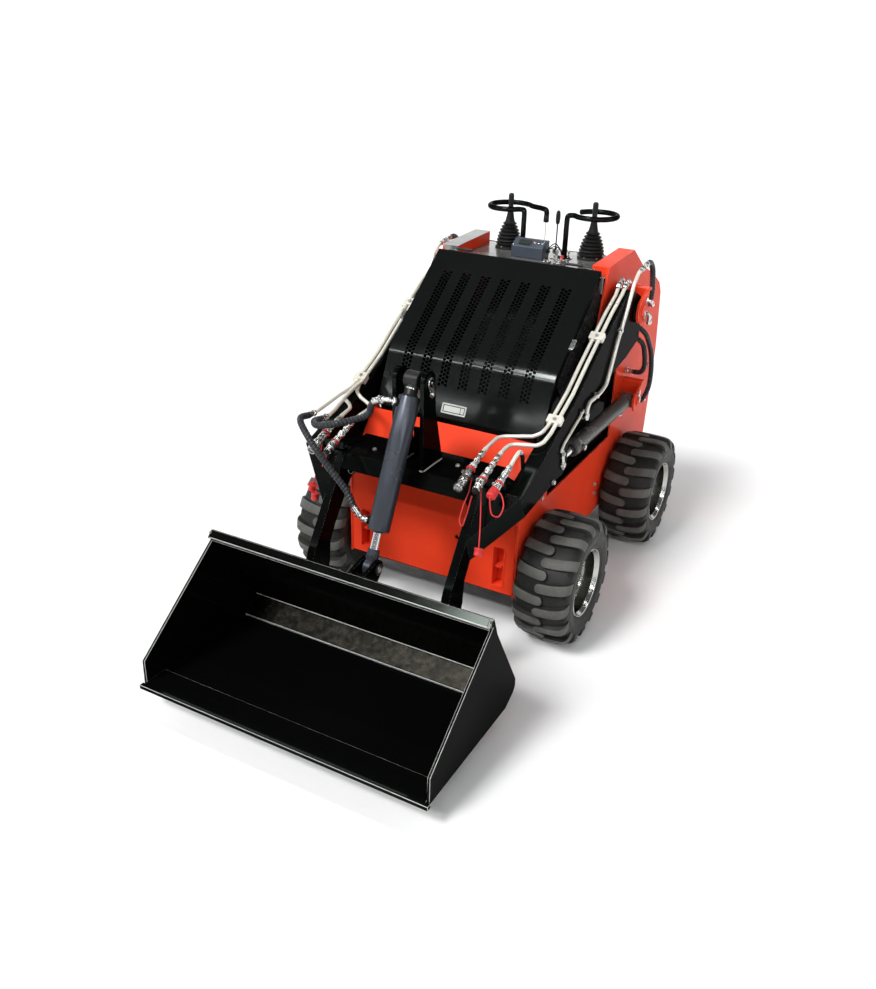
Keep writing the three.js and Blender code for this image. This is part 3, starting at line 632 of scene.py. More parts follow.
def tyre(tag, cx, cy):
    s = 1 if cx > 0 else -1
    c = P(cx, cy, 241.5)
    b = B()
    half = [(131.4, 90), (133.2, 97.0), (138, 99.6), (146, 101.5), (147.5, 103.4), (150.5, 103.4), (152, 102.6), (165, 105.6), (178, 106.8), (180, 107.0), (182.5, 106.6),
            (190, 105.2), (197, 103.2), (205, 101), (212, 95.5), (218, 85.5), (222, 69.5), (225, 47.5), (226, 20)]
    prof = [(r, -x) for r, x in half] + [(r, x) for r, x in reversed(half)] + [(121.6, 86.0), (121.6, -86.0)]
    b.add(lathe(prof, c, (1, 0, 0), 112, wrap=True), TYRE)
    count, w0 = 16, 18.5
    N, A = 9, 6

    def spine(t):
        """angle offset (rad) at share t along the tread profile"""
        return math.radians(6.4) * (1 - (1 - t) ** 2.1)

    def point(prof, t, off, phase, side, shift=0.0):
        r, x = along(prof, min(1.0, t))
        if t > 1:
            x -= (t - 1) * 120
        ang = phase + spine(min(t, 1.0)) + (off / 240.0)
        r += shift
        # forward is -Y, and the top of the wheel moves forward
        return c + Vector((x * side * .001, -math.sin(ang) * r * .001, math.cos(ang) * r * .001))

    for side in (1, -1):
        for i in range(count):
            ph = 2 * math.pi * (i + (0.5 if side < 0 else 0)) / count
            levels = []
            for prof_, grow, drop in ((TYRE_LOW, 2.6, -1.5), (TYRE_TOP, 0.0, -3.0), (TYRE_TOP, -0.8, -0.9), (TYRE_TOP, -2.6, 0.0)):
                pts = []
                tmax = 0.895
                w = w0 + grow
                ts = [tmax * k / N for k in range(N + 1)]
                left = [point(prof_, t, -(w + (4.5 * (1 - t / tmax) ** 2)), ph, side, drop if t > 0.02 else min(drop, -0.5)) for t in ts]
                right = [point(prof_, t, (w + (2.0 * (1 - t / tmax) ** 2)), ph, side, drop if t > 0.02 else min(drop, -0.5)) for t in ts]
                cap_l, cap_r = [], []
                for k in range(1, A + 1):
                    a = math.pi / 2 * k / A
                    t = tmax + (w * math.sin(a)) / 157.0
                    o = w * math.cos(a)
                    cap_l.append(point(prof_, t, -o, ph, side, drop))
                    cap_r.append(point(prof_, t, o, ph, side, drop))
                levels.append((left + cap_l, right + cap_r))
            verts, faces = [], []
            n = N + 1 + A
            for l, r in levels:
                verts += l + r
            def id_(lv, sd, k):
                return lv * 2 * n + sd * n + k
            for lv in range(3):
                for sd in (0, 1):
                    for k in range(n - 1):
                        faces.append([id_(lv, sd, k), id_(lv, sd, k + 1), id_(lv + 1, sd, k + 1), id_(lv + 1, sd, k)])
                faces.append([id_(lv, 0, 0), id_(lv, 1, 0), id_(lv + 1, 1, 0), id_(lv + 1, 0, 0)])
            for k in range(n - 1):
                faces.append([id_(3, 0, k), id_(3, 0, k + 1), id_(3, 1, k + 1), id_(3, 1, k)])
                faces.append([id_(0, 0, k), id_(0, 0, k + 1), id_(0, 1, k + 1), id_(0, 1, k)])
            body_faces = faces
            o = len(b.v)
            b.add((verts, body_faces), TYRE)
            # lug tops and upper flanks carry paler rubber: scuffing, and a painted highlight on the outer faces
            if LUG_SCUFF_AND_SHEEN not in b.mats:
                b.mats.append(LUG_SCUFF_AND_SHEEN)
            k_top = b.mats.index(LUG_SCUFF_AND_SHEEN)
            for q in range(len(b.f) - len(body_faces), len(b.f)):
                loc = [x - o for x in b.f[q]]
                if min(loc) >= 2 * 2 * n:
                    b.mi[q] = k_top
            # three short ribs on the shoulder between lugs
            for j in range(3):
                a0 = ph + math.radians(9.0 + j * 1.5)
                def q(x, r, da):
                    a = a0 + da
                    return c + Vector((x * side * .001, -math.sin(a) * r * .001, math.cos(a) * r * .001))
                prof4 = ((97, 210.5), (92, 216.2), (84, 221.0))
                vv, ff = [], []
                for (x, r) in prof4:
                    vv += [q(x, r - 3.5, -0.0095), q(x, r + 1.6, -0.0058), q(x, r + 1.6, 0.0058), q(x, r - 3.5, 0.0095)]
                for m_ in range(2):
                    for e in range(3):
                        ff.append([m_ * 4 + e, m_ * 4 + e + 1, m_ * 4 + e + 5, m_ * 4 + e + 4])
                    ff.append([m_ * 4 + 3, m_ * 4, m_ * 4 + 4, m_ * 4 + 7])
                ff += [[0, 1, 2, 3], [11, 10, 9, 8]]
                b.add((vv, ff), TYRE)
    ob = b.make("tyre_look_" + tag, "wheel_" + tag, "tyre_rubber", angle=38, replaces=("tyre_" + tag,))
    bm = bmesh.new()
    bm.from_mesh(ob.data)
    bmesh.ops.remove_doubles(bm, verts=bm.verts, dist=1e-6)
    bmesh.ops.recalc_face_normals(bm, faces=bm.faces)
    bm.to_mesh(ob.data)
    bm.free()


def rim(tag, cx, cy):
    s = 1 if cx > 0 else -1
    c = P(cx, cy, 241.5)
    d = Vector((s, 0, 0))
    b = B()
    prof = [(121.0, 85.6), (121.0, -85.6), (128, -90.6), (130.6, -94.6), (129, -97), (125.5, -95.5), (122.5, -91), (118.5, -86.5), (117.5, -60), (109, -50), (108, -36), (101, -33),
            (88, -35.5), (70, -30), (48, -30), (44, -32), (30, -32), (30, -26), (26, -20), (0, -20), (0, -12), (27, -12), (33, -17), (34, -24),
            (46, -24), (52, -23.5), (68, -23.5), (86, -29), (100, -26.5), (107.5, -25), (112.5, -21), (113.2, -10), (110.5, 0), (110.5, 34), (116, 44), (117.5, 62), (118.4, 82),
            (121.5, 87.5), (124.4, 92.5), (126.2, 97), (129.2, 98.6), (131.0, 96.2), (130.2, 92.4), (127.4, 90.0)]
    cut = next(i for i, q in enumerate(prof) if q == (118.4, 82))
    deep = next(i for i, q in enumerate(prof) if q == (112.5, -21))
    # disc and weld bead painted dark, barrel mid grey, lip bright: painted shade in the rim's hollow, all one silver
    # metal
    b.add(lathe(prof[:deep + 1], c, d, 72, caps=False), RIM_DISH_SHADE)
    b.add(lathe(prof[deep:cut + 1], c, d, 72, caps=False), RIM_BARREL_SHADE)
    b.add(lathe(prof[cut:] + prof[:1], c, d, 72, caps=False), RIMM)
    b.add(lathe([(110.6, 30), (112.0, 31.5), (117.2, 43.6), (116.2, 46.0), (114.6, 45.0)], c, d, 72, wrap=True), RIMM)
    # weld bead between disc and barrel, nuts, hub cap, valve, hand holes' rims
    ringp = [c + d * -.0232 + Vector((0, math.cos(a), math.sin(a))) * 0.1095 for a in [2 * math.pi * i / 180 for i in range(180)]]
    radii = [2.6 * (1 + 0.12 * math.sin(i * 1.7)) for i in range(180)]
    b.add(ring_tube(ringp, 2.6, 6, closed=True, radii=radii), RIM_DISH_SHADE)
    for i in range(6):
        a = 2 * math.pi * (i + 0.5) / 6
        q = c + d * -.0235 + Vector((0, math.cos(a), math.sin(a))) * 0.058
        b.add(lathe([(0, 0), (13.5, 0), (12.5, 3), (10.8, 3.2), (10.8, 13), (9.4, 15), (6.2, 15), (6.2, 19), (5.2, 20), (0, 20)], q, d, 6), BOLTM)
    b.add(lathe([(0, -2), (31, -2), (31, 3), (27, 9), (16, 13), (0, 14.5)], c + d * -.015, d, 32), SATIN)
    for i in range(8):
        a = 2 * math.pi * i / 8
        q = c + d * -.0272 + Vector((0, math.cos(a), math.sin(a))) * 0.086
        b.add(lathe([(9.4, 0), (9.4, 2.4), (7.6, 2.6), (7.4, -4), (9.4, -4)], q, d, 16, wrap=True), RIMM)
        b.add(lathe([(0, 0.0), (7.5, 0.0), (7.5, 0.4), (0, 0.4)], q, d, 16), SATIN)
    a = 0.9
    q = c + d * .036 + Vector((0, math.cos(a), math.sin(a))) * 0.109
    inw = Vector((0, -math.cos(a), -math.sin(a)))
    b.add(cyl(q, q + (d * .8 + inw * .5).normalized() * .026, 4.6, 12, 1.0), BOOT)
    b.add(cyl(q + (d * .8 + inw * .5).normalized() * .026, q + (d * .8 + inw * .5).normalized() * .038, 4.9, 12, 1.0), STEEL)
    ob = b.make("rim_look_" + tag, "wheel_" + tag, "rim_silver", angle=32, replaces=("rim_" + tag,))
    bm = bmesh.new()
    bm.from_mesh(ob.data)
    bmesh.ops.remove_doubles(bm, verts=bm.verts, dist=1e-6)
    bmesh.ops.recalc_face_normals(bm, faces=bm.faces)
    bm.to_mesh(ob.data)
    bm.free()


for tag, x, y in (("front_left", 471, 0), ("front_right", -471, 0), ("rear_left", 471, 904), ("rear_right", -471, 904)):
    tyre(tag, x, y)
    rim(tag, x, y)

# ============================================================ plate pieces
# pieces given line= wear the bright edge paint on their bevel faces: painted highlights along the edges
from_node("axle_front", IRON, 0.001)
from_node("axle_rear", IRON, 0.001)
for side, s in SIDES:
    from_node("side_plate_" + side, RED, 0.0016, line=RED_EDGE_HIGHLIGHT)
    from_node("engine_side_panel_" + side, BLACK, 0.0006)
    from_node("step_hinge_" + side, BLACK, 0.0012)
    from_node("loader_arm_" + side, BLACK, 0.0024, line=EDGE_HIGHLIGHT)
slots = [plateY(slot_shape(262, 303, 228, 386, 4), -180, -150), plateY(slot_shape(-303, -262, 228, 386, 4), -180, -150),
         plateY(circle(111, 380, 9, 20), -180, -150)]
from_node("front_panel", RED, 0.0014, cutters=slots)
from_node("belly_plate", BLACK, 0.0012)
from_node("rear_cover", BLACK, 0.0012)
# the deck's pale grey is partly a painted reflection, and its bevels carry the painted edge highlight
from_node("control_deck", DECK_SHEEN_METAL, 0.0010, line=EDGE_HIGHLIGHT)
from_node("engine", IRON, 0.006)
from_node("instrument_box", GREYP, 0.003, segs=3)
from_node("rider_step", BLACK, 0.0012)
from_node("crossbeam", BLACK, 0.0022, line=EDGE_HIGHLIGHT)
from_node("bucket", BLACK, 0.0020, line=EDGE_HIGHLIGHT)
from_node("cutting_edge", BLACK, 0.0016, line=EDGE_HIGHLIGHT)
from_node("quick_attach", BLACK, 0.0018, line=EDGE_HIGHLIGHT)

# =================================================================== hood
def profile_s(pts, radii, n=9):
    """polyline (y, z) with rounded bends: points, arc lengths and which are in a bend"""
    out, bend = [Vector(pts[0])], [False]
    for i in range(1, len(pts) - 1):
        a, b, c = Vector(pts[i - 1]), Vector(pts[i]), Vector(pts[i + 1])
        u, w = (a - b).normalized(), (c - b).normalized()
        ang = math.acos(u.dot(w))
        r = radii[i - 1]
        t = r / math.tan(ang / 2)
        cen = b + (u + w).normalized() * (r / math.sin(ang / 2))
        p, q = b + u * t, b + w * t
        a0, a1 = math.atan2(*(p - cen).yx), math.atan2(*(q - cen).yx)
        if a1 - a0 > math.pi:
            a1 -= 2 * math.pi
        if a0 - a1 > math.pi:
            a1 += 2 * math.pi
        for k in range(n + 1):
            a = a0 + (a1 - a0) * k / n
            out.append(cen + Vector((math.cos(a), math.sin(a))) * r)
            bend.append(True)
    out.append(Vector(pts[-1]))
    bend.append(False)
    s = [0.0]
    for a, b in zip(out, out[1:]):
        s.append(s[-1] + (b - a).length)
    return out, s, bend


def make_hood():
    prof, S, bend = profile_s([(34, 746), (5.5, 753), (101, 963), (481, 1270), (488, 1242)], [7, 144, 7])
    total = S[-1]

    def at(s, off=0.0):
        s = max(0.0, min(total, s))
        i = 0
        while i < len(S) - 2 and S[i + 1] < s:
            i += 1
        k = (s - S[i]) / max(1e-9, S[i + 1] - S[i])
        p = prof[i].lerp(prof[i + 1], k)
        # smooth normal from neighbours
        def nrm(j):
            a, c = prof[max(0, j - 1)], prof[min(len(prof) - 1, j + 1)]
            t = (c - a).normalized()
            return Vector((-t.y, t.x))
        n = nrm(i).lerp(nrm(i + 1), k).normalized()
        return p + n * off

    W = 340.0
    foot = next(s for p, s, b_ in zip(prof, S, bend) if b_ and p.y > 757)  # end of the foot fold
    holes = []
    for k in range(7):
        cx = -254 + 83 * k
        for col in (-1, 0, 1):
            n = 32 if col else 31
            for j in range(n):
                holes.append((cx + col * 13.4, foot + 118 + (0 if col else 7.75) + j * 15.5))
    verts, edges = [], []

    def loop(pts):
        o = len(verts)
        verts.extend([Vector(p) for p in pts])
        edges.extend([(o + i, o + (i + 1) % len(pts)) for i in range(len(pts))])

    loop([(-W, 0), (W, 0), (W, total), (-W, total)])
    for s, b_ in zip(S, bend):
        if b_:
            o = len(verts)
            verts.extend([Vector((-W, s)), Vector((W, s))])
            edges.append((o, o + 1))
    for hx, hs in holes:
        loop([(hx + 6.5 * math.cos(2 * math.pi * i / 10), hs + 6.9 * math.sin(2 * math.pi * i / 10)) for i in range(10)])
    v2, e2, f2, _, _, _ = geometry.delaunay_2d_cdt(verts, edges, [], 1, 1e-4)
    cell = {}
    for hx, hs in holes:
        cell.setdefault((round(hx / 20), round(hs / 20)), []).append((hx, hs))
    keep = []
    for f in f2:
        cx = sum(v2[i].x for i in f) / len(f)
        cs = sum(v2[i].y for i in f) / len(f)
        gx, gs = round(cx / 20), round(cs / 20)
        inside = False
        for ax in (-1, 0, 1):
            for as_ in (-1, 0, 1):
                for hx, hs in cell.get((gx + ax, gs + as_), ()):
                    if (hx - cx) ** 2 + (hs - cs) ** 2 < 5.45 ** 2:
                        inside = True
        if not inside:
            keep.append(list(f))
    n = len(v2)
    V3 = []
    for off in (0.0, -3.2):
        for v in v2:
            q = at(v.y, off)
            V3.append(P(v.x, q.x, q.y))
    faces = [list(f) for f in keep] + [[i + n for i in reversed(f)] for f in keep]
    count = {}
    for f in keep:
        for a, c in zip(f, f[1:] + f[:1]):
            count[(a, c)] = count.get((a, c), 0) + 1
    for (a, c) in count:
        if (c, a) not in count:
            faces.append([c, a, a + n, c + n])
    used = sorted({i for f in faces for i in f})
    remap = {o: k for k, o in enumerate(used)}
    V3 = [V3[i] for i in used]
    faces = [[remap[i] for i in f] for f in faces]
    b = B()
    b.add((V3, faces), HOODM)
    # rolled side edges and inward side flanges
    line = [at(s, -2.2) for s in S]
    for x in (-339.6, 339.6):
        b.add(ring_tube([P(x, q.x, q.y) for q in line], 2.2, 8), HOODM)
    inner = [at(s, -3) for s in S if 20 < s < total - 18]
    deep = [at(s, -30) for s in S if 20 < s < total - 18]
    outline = [(q.x, q.y) for q in inner] + [(q.x, q.y) for q in reversed(deep)]
    for x in (-341.8, 338.8):
        b.add(plateX(outline, x, x + 3.0), HOODM)
    # hinge leaves along the top
    for x in (-230, 230):
        b.add(cyl(P(x - 34, 486, 1272.5), P(x + 34, 486, 1272.5), 5.2, 14, 0.8), SATIN)
    ob = b.make("hood_look", "engine_hood", "black_paint", angle=24, replaces=("hood",))
    # blank data plate with a raised rim and four rivets, low on the hood
    b = B()
    q = at(foot + 36, 0)
    t = Vector((0, 0.414, 0.910)); nn = Vector((0, -0.910, 0.414))
    o = P(-17, q.x, q.y)

    def pl(u, v, w):
        return o + Vector((u * .001, 0, 0)) + t * (v * .001) + nn * (w * .001)
    b.add(slab(slot_shape(-50, 50, -19, 19, 3), pl, 0.1, 1.0), PLATEM)
    b.add(slab(slot_shape(-50, 50, -19, 19, 3), pl, 0.9, 2.0, [slot_shape(-45.5, 45.5, -14.5, 14.5, 2)]), PLATEM)
    b.add(slab(slot_shape(-44.8, 44.8, -13.8, 13.8, 2), pl, 0.9, 1.3, [slot_shape(-41.5, 41.5, -10.5, 10.5, 2)]), BLACKP)
    b.add(slab([(26, -10.5), (28.5, -10.5), (28.5, 10.5), (26, 10.5)], pl, 0.9, 1.3), BLACKP)
    for u in (-47.2, 47.2):
        for v in (-16.2, 16.2):
            b.add(lathe([(0, 1.6), (1.6, 1.6), (1.6, 2.4), (1.0, 3.0), (0, 3.1)], pl(u, v, 0), nn, 12), STEEL)
    b.make("blank_plate", "engine_hood", "rim_silver", bevel=0.0003, segs=1)
    # side latches on the hood's edges
    for side, s in SIDES:
        b = B()
        q = at(foot + 229.6 + 140, -10)
        c0 = P(s * 342, q.x, q.y)
        tt = Vector((0, 0.778, 0.628)); n2 = Vector((0, -0.628, 0.778))

        def ps(u, v, w, c0=c0, s=s):
            return c0 + Vector((s * w * .001, 0, 0)) + tt * (u * .001) + n2 * (v * .001)
        b.add(slab(slot_shape(-22, 22, -8, 11, 3), ps, 0.4, 3.2), STEEL)
        b.add(slab(slot_shape(-22, 22, 8, 11, 1.4), ps, 0.4, 17), STEEL)
        for u in (-13, 13):
            b.add(lathe([(0, 0), (4.4, 0), (4.4, 2.4), (3.2, 3.2), (0, 3.2)], ps(u, -1, 3.2), (s, 0, 0), 6), BOLTM)
        b.make("hood_latch_" + side, "engine_hood", "rim_silver", bevel=0.0005, segs=1)


make_hood()


# =============================================================== controls
def joystick(side, s):
    o = P(s * 183, 800, 1235.3)
    prof = [(0, 0), (55, 0), (56, 2), (56, 5), (54, 7), (51, 8)]
    z = 9.0
    for k, r in enumerate((53.5, 52.0, 49.5, 46.0, 41.5, 36.0, 30.0)):                      # bellows
        nx = (52.0, 49.5, 46.0, 41.5, 36.0, 30.0, 24.0)[k]
        prof += [(r - 6.5, z + 1.2), (r - 7.0, z + 2.8), (r - 6.0, z + 4.4), (r - 1.2, z + 7.6), (r - 0.4, z + 9.6), (nx + 0.4, z + 12.6)]
        z += 13.6
    prof += [(20, z + 3), (16.5, z + 18), (13.5, z + 34), (11.5, z + 43), (10.8, z + 46), (9.0, z + 47), (0, z + 47)]
    b = B()
    b.add(lathe(prof, o, (0, 0, 1), 48), BOOT)
    top = 0.2214
    b.add(lathe([(0, 0), (8.5, 0), (8.5, 14), (0, 14)], o + Vector((0, 0, .150)), (0, 0, 1), 20), SATIN)
    b.add(lathe([(0, 0), (9.6, 0), (10.6, 2), (10.4, 22), (11.2, 34), (11.4, 46), (10.8, 53), (8.6, 57.4), (4.5, 59.4), (0, 60)], o + Vector((0, 0, top - .060)), (0, 0, 1), 28), BLACKP)
    b.make("joystick_look_" + side, "chassis", "boot_rubber", angle=50, replaces=("joystick_" + side,))
    b = B()
    for i in range(6):
        a = 2 * math.pi * i / 6 + 0.3
        bolt(b, o + Vector((math.cos(a) * .0495, math.sin(a) * .0495, 0.0066)), (0, 0, 1), 6.5, BOLTM, washer=True)
    b.make("boot_screws_" + side, "chassis", "rim_silver")


def guard(side, s):
    b = B()
    c = (s * 183, 805)
    ringp = []
    for i in range(41):
        a = math.radians(-146 + 296 * i / 40)
        ringp.append(P(c[0] + s * 88 * math.cos(a), c[1] + 88 * math.sin(a), 1404 + 1.2 * math.sin(a * 1.5)))
    st = ringp[0]
    x0, y0 = c[0] - s * 90, c[1] - 70
    post = fillet([P(x0, y0, 1235.5), P(x0, y0, 1404), P(c[0] - s * 72, c[1] - 50, 1404)], 34, 10)
    path = post[:-1] + ringp[1:]
    if s < 0:
        # the right-hand guard runs on towards the middle and ends in a short drop
        end = fillet([ringp[-1], P(-64, 836, 1403), P(-27, 812, 1402), P(-27, 811, 1360)], 13, 8)
        path = path + end[1:]
    path = catmull(path[::2] + [path[-1]], 0.006)
    b.add(ring_tube(path, 10.5, 16), BLACK)
    if s > 0:
        b.add(lathe([(0, -1), (9.2, -1), (8.2, 2.4), (5, 4.2), (0, 4.8)], path[-1], path[-1] - path[-2], 16), BLACK)
    else:
        b.add(cyl(P(-27, 811, 1382), P(-27, 811, 1354), 11.2, 20, 2.0), BLACKP)
    b.add(lathe([(0, 0), (26, 0), (26, 4.5), (24.5, 6), (0, 6)], P(x0, y0, 1235.2), (0, 0, 1), 28), BLACK)
    weld(b, [P(x0 + 11 * math.cos(k * 0.42), y0 + 11 * math.sin(k * 0.42), 1242) for k in range(16)], 2.4)
    for k in range(3):
        a = 2 * math.pi * k / 3 + 0.5
        bolt(b, P(x0 + 19 * math.cos(a), y0 + 19 * math.sin(a), 1241.2), (0, 0, 1), 7, BOLTM, washer=False)
    b.make("hand_guard_look_" + side, "chassis", "black_paint", angle=45, replaces=("hand_guard_" + side,))


for side, s in SIDES:
    joystick(side, s)
    guard(side, s)


def deck_things():
    b = B()
    # gold pull rod and a lever with an oval grip
    b.add(cyl(P(-27, 811, 1236), P(-27, 811, 1356), 2.4, 12), ZINC)
    b.add(cyl(P(14, 838, 1236), P(14, 838, 1352), 2.8, 12), SATIN)
    b.add(lathe([(0, 0), (6, 1), (8.6, 8), (9.6, 22), (9.4, 38), (7.6, 50), (4, 55), (0, 56)], P(14, 838, 1346), (0, 0, 1), 20), BLACKP)
    b.add(lathe([(0, 0), (13, 0), (13, 4), (9, 8), (5, 9), (5, 16), (0, 16)], P(14, 838, 1235.2), (0, 0, 1), 24), BLACKP)
    b.add(lathe([(0, 0), (9, 0), (9, 5), (6, 7), (0, 7)], P(-27, 811, 1235.2), (0, 0, 1), 6), BOLTM)
    # key switch, two knobs and a push button on a small raised plate
    b.add(slab(slot_shape(44, 122, 700, 760, 6), lambda u, v, w: P(u, v, w), 1235.3, 1238.2), STEEL)
    b.add(lathe([(0, 0), (12, 0), (12, 6), (10, 8), (6.5, 8), (6.5, 11), (0, 11)], P(62, 730, 1238), (0, 0, 1), 28), STEEL)
    b.add(cube(60.4, 63.6, 718, 742, 1247, 1268), STEEL)
    b.add(lathe([(0, 0), (8, 0), (9, 2), (9, 14), (7.5, 17), (0, 17)], P(92, 742, 1238), (0, 0, 1), 14), BLACKP)
    b.add(lathe([(0, 0), (8, 0), (8, 5), (6, 5.5), (6, 11), (5, 12.5), (0, 12.5)], P(92, 716, 1238), (0, 0, 1), 24), REDRUB)
    b.add(lathe([(0, 0), (7, 0), (7, 4), (3, 5), (3, 20), (5.5, 23), (5.5, 28), (3, 31), (0, 31)], P(110, 740, 1238), (0, 0, 1), 16), STEEL)
    # cable loops from the switch plate into the instrument box
    for k, (za, dx) in enumerate(((34, 0), (22, 6))):
        pts = [P(34, 700 + dx, 1262), P(44, 702 + dx, 1262 + za * .6), P(58, 716 + dx, 1258 + za), P(74, 730 + dx, 1256 + za * .5), P(80 + dx, 744, 1238)]
        b.add(ring_tube(catmull(pts, 0.004), 2.3, 8), HOSE)
    b.make("deck_controls", "chassis", "rim_silver", bevel=0.0005, segs=1, bangle=40)
    # instrument box trim: dial window, lamps, screws, side gland
    b = B()
    # sloped front face runs from (650, 1279) up to (694, 1305)
    nrm = Vector((0, -0.509, 0.861)); tan = Vector((0, 0.861, 0.509)); o = P(-36, 671, 1291.6)

    def pf(u, v, w):
        return o + Vector((u * .001, 0, 0)) + tan * (v * .001) + nrm * (w * .001)
    b.add(slab(slot_shape(-44, 10, -15, 15, 4), pf, 0.2, 2.4), BLACKP)
    b.add(slab(slot_shape(-40, 6, -11, 11, 2.5), pf, 2.2, 2.9), GLASS)
    for u in (24, 40, 56):
        b.add(lathe([(0, 0), (5.2, 0), (5.2, 2.2), (3.8, 3.0), (0, 3.4)], pf(u, 5, 0.1), nrm, 20), STEEL)
        b.add(lathe([(0, 2.6), (3.2, 2.6), (2.6, 4.2), (0, 4.8)], pf(u, 5, 0.1), nrm, 16), REDRUB if u == 24 else BLACKP)
    for u in (-60, 60):
        for v in (-18, 18):
            b.add(lathe([(0, 0), (3, 0), (2.8, 1.4), (0, 2.0)], pf(u, v, 0.1), nrm, 14), STEEL)
    b.add(lathe([(0, 0), (8, 0), (8, 5), (6, 9), (4, 12), (0, 12)], P(32, 700, 1262), (1, 0, 0), 16), BLACKP)
    b.make("instrument_trim", "chassis", "boot_rubber", bevel=0.0004, segs=1, bangle=40)
    # deck edge bolts and folded lip highlight strip
    b = B()
    for x in (-255, -105, 105, 255):
        for y in (520, 866):
            bolt(b, P(x, y, 1235.2), (0, 0, 1), 10, BOLTM)
    b.add(cube(-338, 338, 500.5, 509, 1235.1, 1237.4), EDGE_HIGHLIGHT)
    # pale strip on one rail's top and front end: a painted reflection of the lights
    b.add(plateX([(532, 1271.2), (829, 1286.3), (829, 1287.2), (532, 1272.2)], -353.6, -285.4), DECK_SHEEN_METAL)
    b.add(cube(-353.6, -285.4, 532.2, 533.8, 1236, 1271.6), DECK_SHEEN_METAL)
    b.make("deck_bolts", "chassis", "rim_silver")


deck_things()


# ============================================================== cylinders
def fitting_run(b, pts, hexes, r=8.5, mat=STEEL):
    """elbow tube with hex nuts at shares of its length"""
    path = fillet(pts, 12, 6)
    b.add(ring_tube(path, r, 14), mat)
    for a, c, rr in hexes:
        hexnut(b, a, c, rr, mat)


def lift_cylinder(side, s):
    A, F = Vector((815, 667)), Vector((16, 677))
    L = (F - A).length
    u = (F - A) / L
    cx = 397.5 * s
    ax = Vector((0, u.x, u.y))

    def at(d, dx=0, dz=0):
        q = A + u * d
        return P(cx + dx * s, q.x, q.y + dz)
    b = B()
    prof = [(0, 22), (24, 22), (28.5, 26), (29.6, 34), (29.6, 52), (30.0, 54), (30.0, 60), (29.4, 62), (29.4, 592), (30.2, 593), (31.2, 596), (31.2, 636), (30.0, 642), (24, 645), (18.0, 645), (17.0, 641), (16.2, 641), (16.2, 296), (0, 296)]
    b.add(lathe(prof, at(0), ax, 44), OLIVE)
    # eye at the closed end
    c = P(cx, A.x, A.y)
    for h0, h1 in ((-26, 26),):
        b.add(lathe([(15.6, h0), (28.5, h0), (30, h0 + 2), (30, h1 - 2), (28.5, h1), (15.6, h1)], c, (1, 0, 0), 36, wrap=True), OLIVE)
    weld(b, [at(27) + (Vector((math.cos(a), 0, 0)) + Vector((0, -u.y, u.x)) * math.sin(a)) * .0287 for a in [2 * math.pi * k / 60 for k in range(61)]], 2.0, OLIVE)
    # gland, wiper
    b.add(lathe([(15.7, 641), (22.5, 641), (22.5, 647), (19, 650), (15.7, 650)], at(0), ax, 32, wrap=True), BLACKP)
    for d in (604, 612, 620):
        b.add(lathe([(31.0, d), (31.7, d + 1), (31.7, d + 3), (31.0, d + 4)], at(0), ax, 40, wrap=True), OLIVE)
    # ports
    dn = Vector((0, u.y, -u.x)) if u.x < 0 else Vector((0, -u.y, u.x))
    dn = Vector((0, 0, -1))
    p0 = at(80)
    b.add(cyl(p0 + dn * .024, p0 + dn * .040, 12.5, 18, 1.0), OLIVE)
    hexnut(b, p0 + dn * .040, p0 + dn * .0475, 11.5, STEEL)
    q = at(600)
    o = Vector((s, 0, 0))
    b.add(cyl(q + o * .024, q + o * .0345, 12.5, 18, 1.0), OLIVE)
    hexnut(b, q + o * .0345, q + o * .043, 11.0, STEEL)
    b.make("lift_barrel_look_" + side, "lift_barrel_" + side, "cylinder_olive", angle=32, replaces=("lift_cylinder_barrel_" + side,))
    b = B()
    b.add(lathe([(0, 320), (15, 320), (15, L - 30), (0, L - 30)], at(0), ax, 40), CHROME)
    b.add(lathe([(0, L - 58), (19, L - 58), (20.5, L - 55), (20.5, L - 30), (17, L - 20), (0, L - 20)], at(0), ax, 32), SATIN)
    b.add(lathe([(15.4, -12), (25.5, -12), (27, -10), (27, 10), (25.5, 12), (15.4, 12)], P(cx, F.x, F.y), (1, 0, 0), 36, wrap=True), SATIN)
    b.make("lift_rod_look_" + side, "lift_rod_" + side, "chrome_rod", angle=32, replaces=("lift_cylinder_rod_" + side,))


for side, s in SIDES:
    lift_cylinder(side, s)


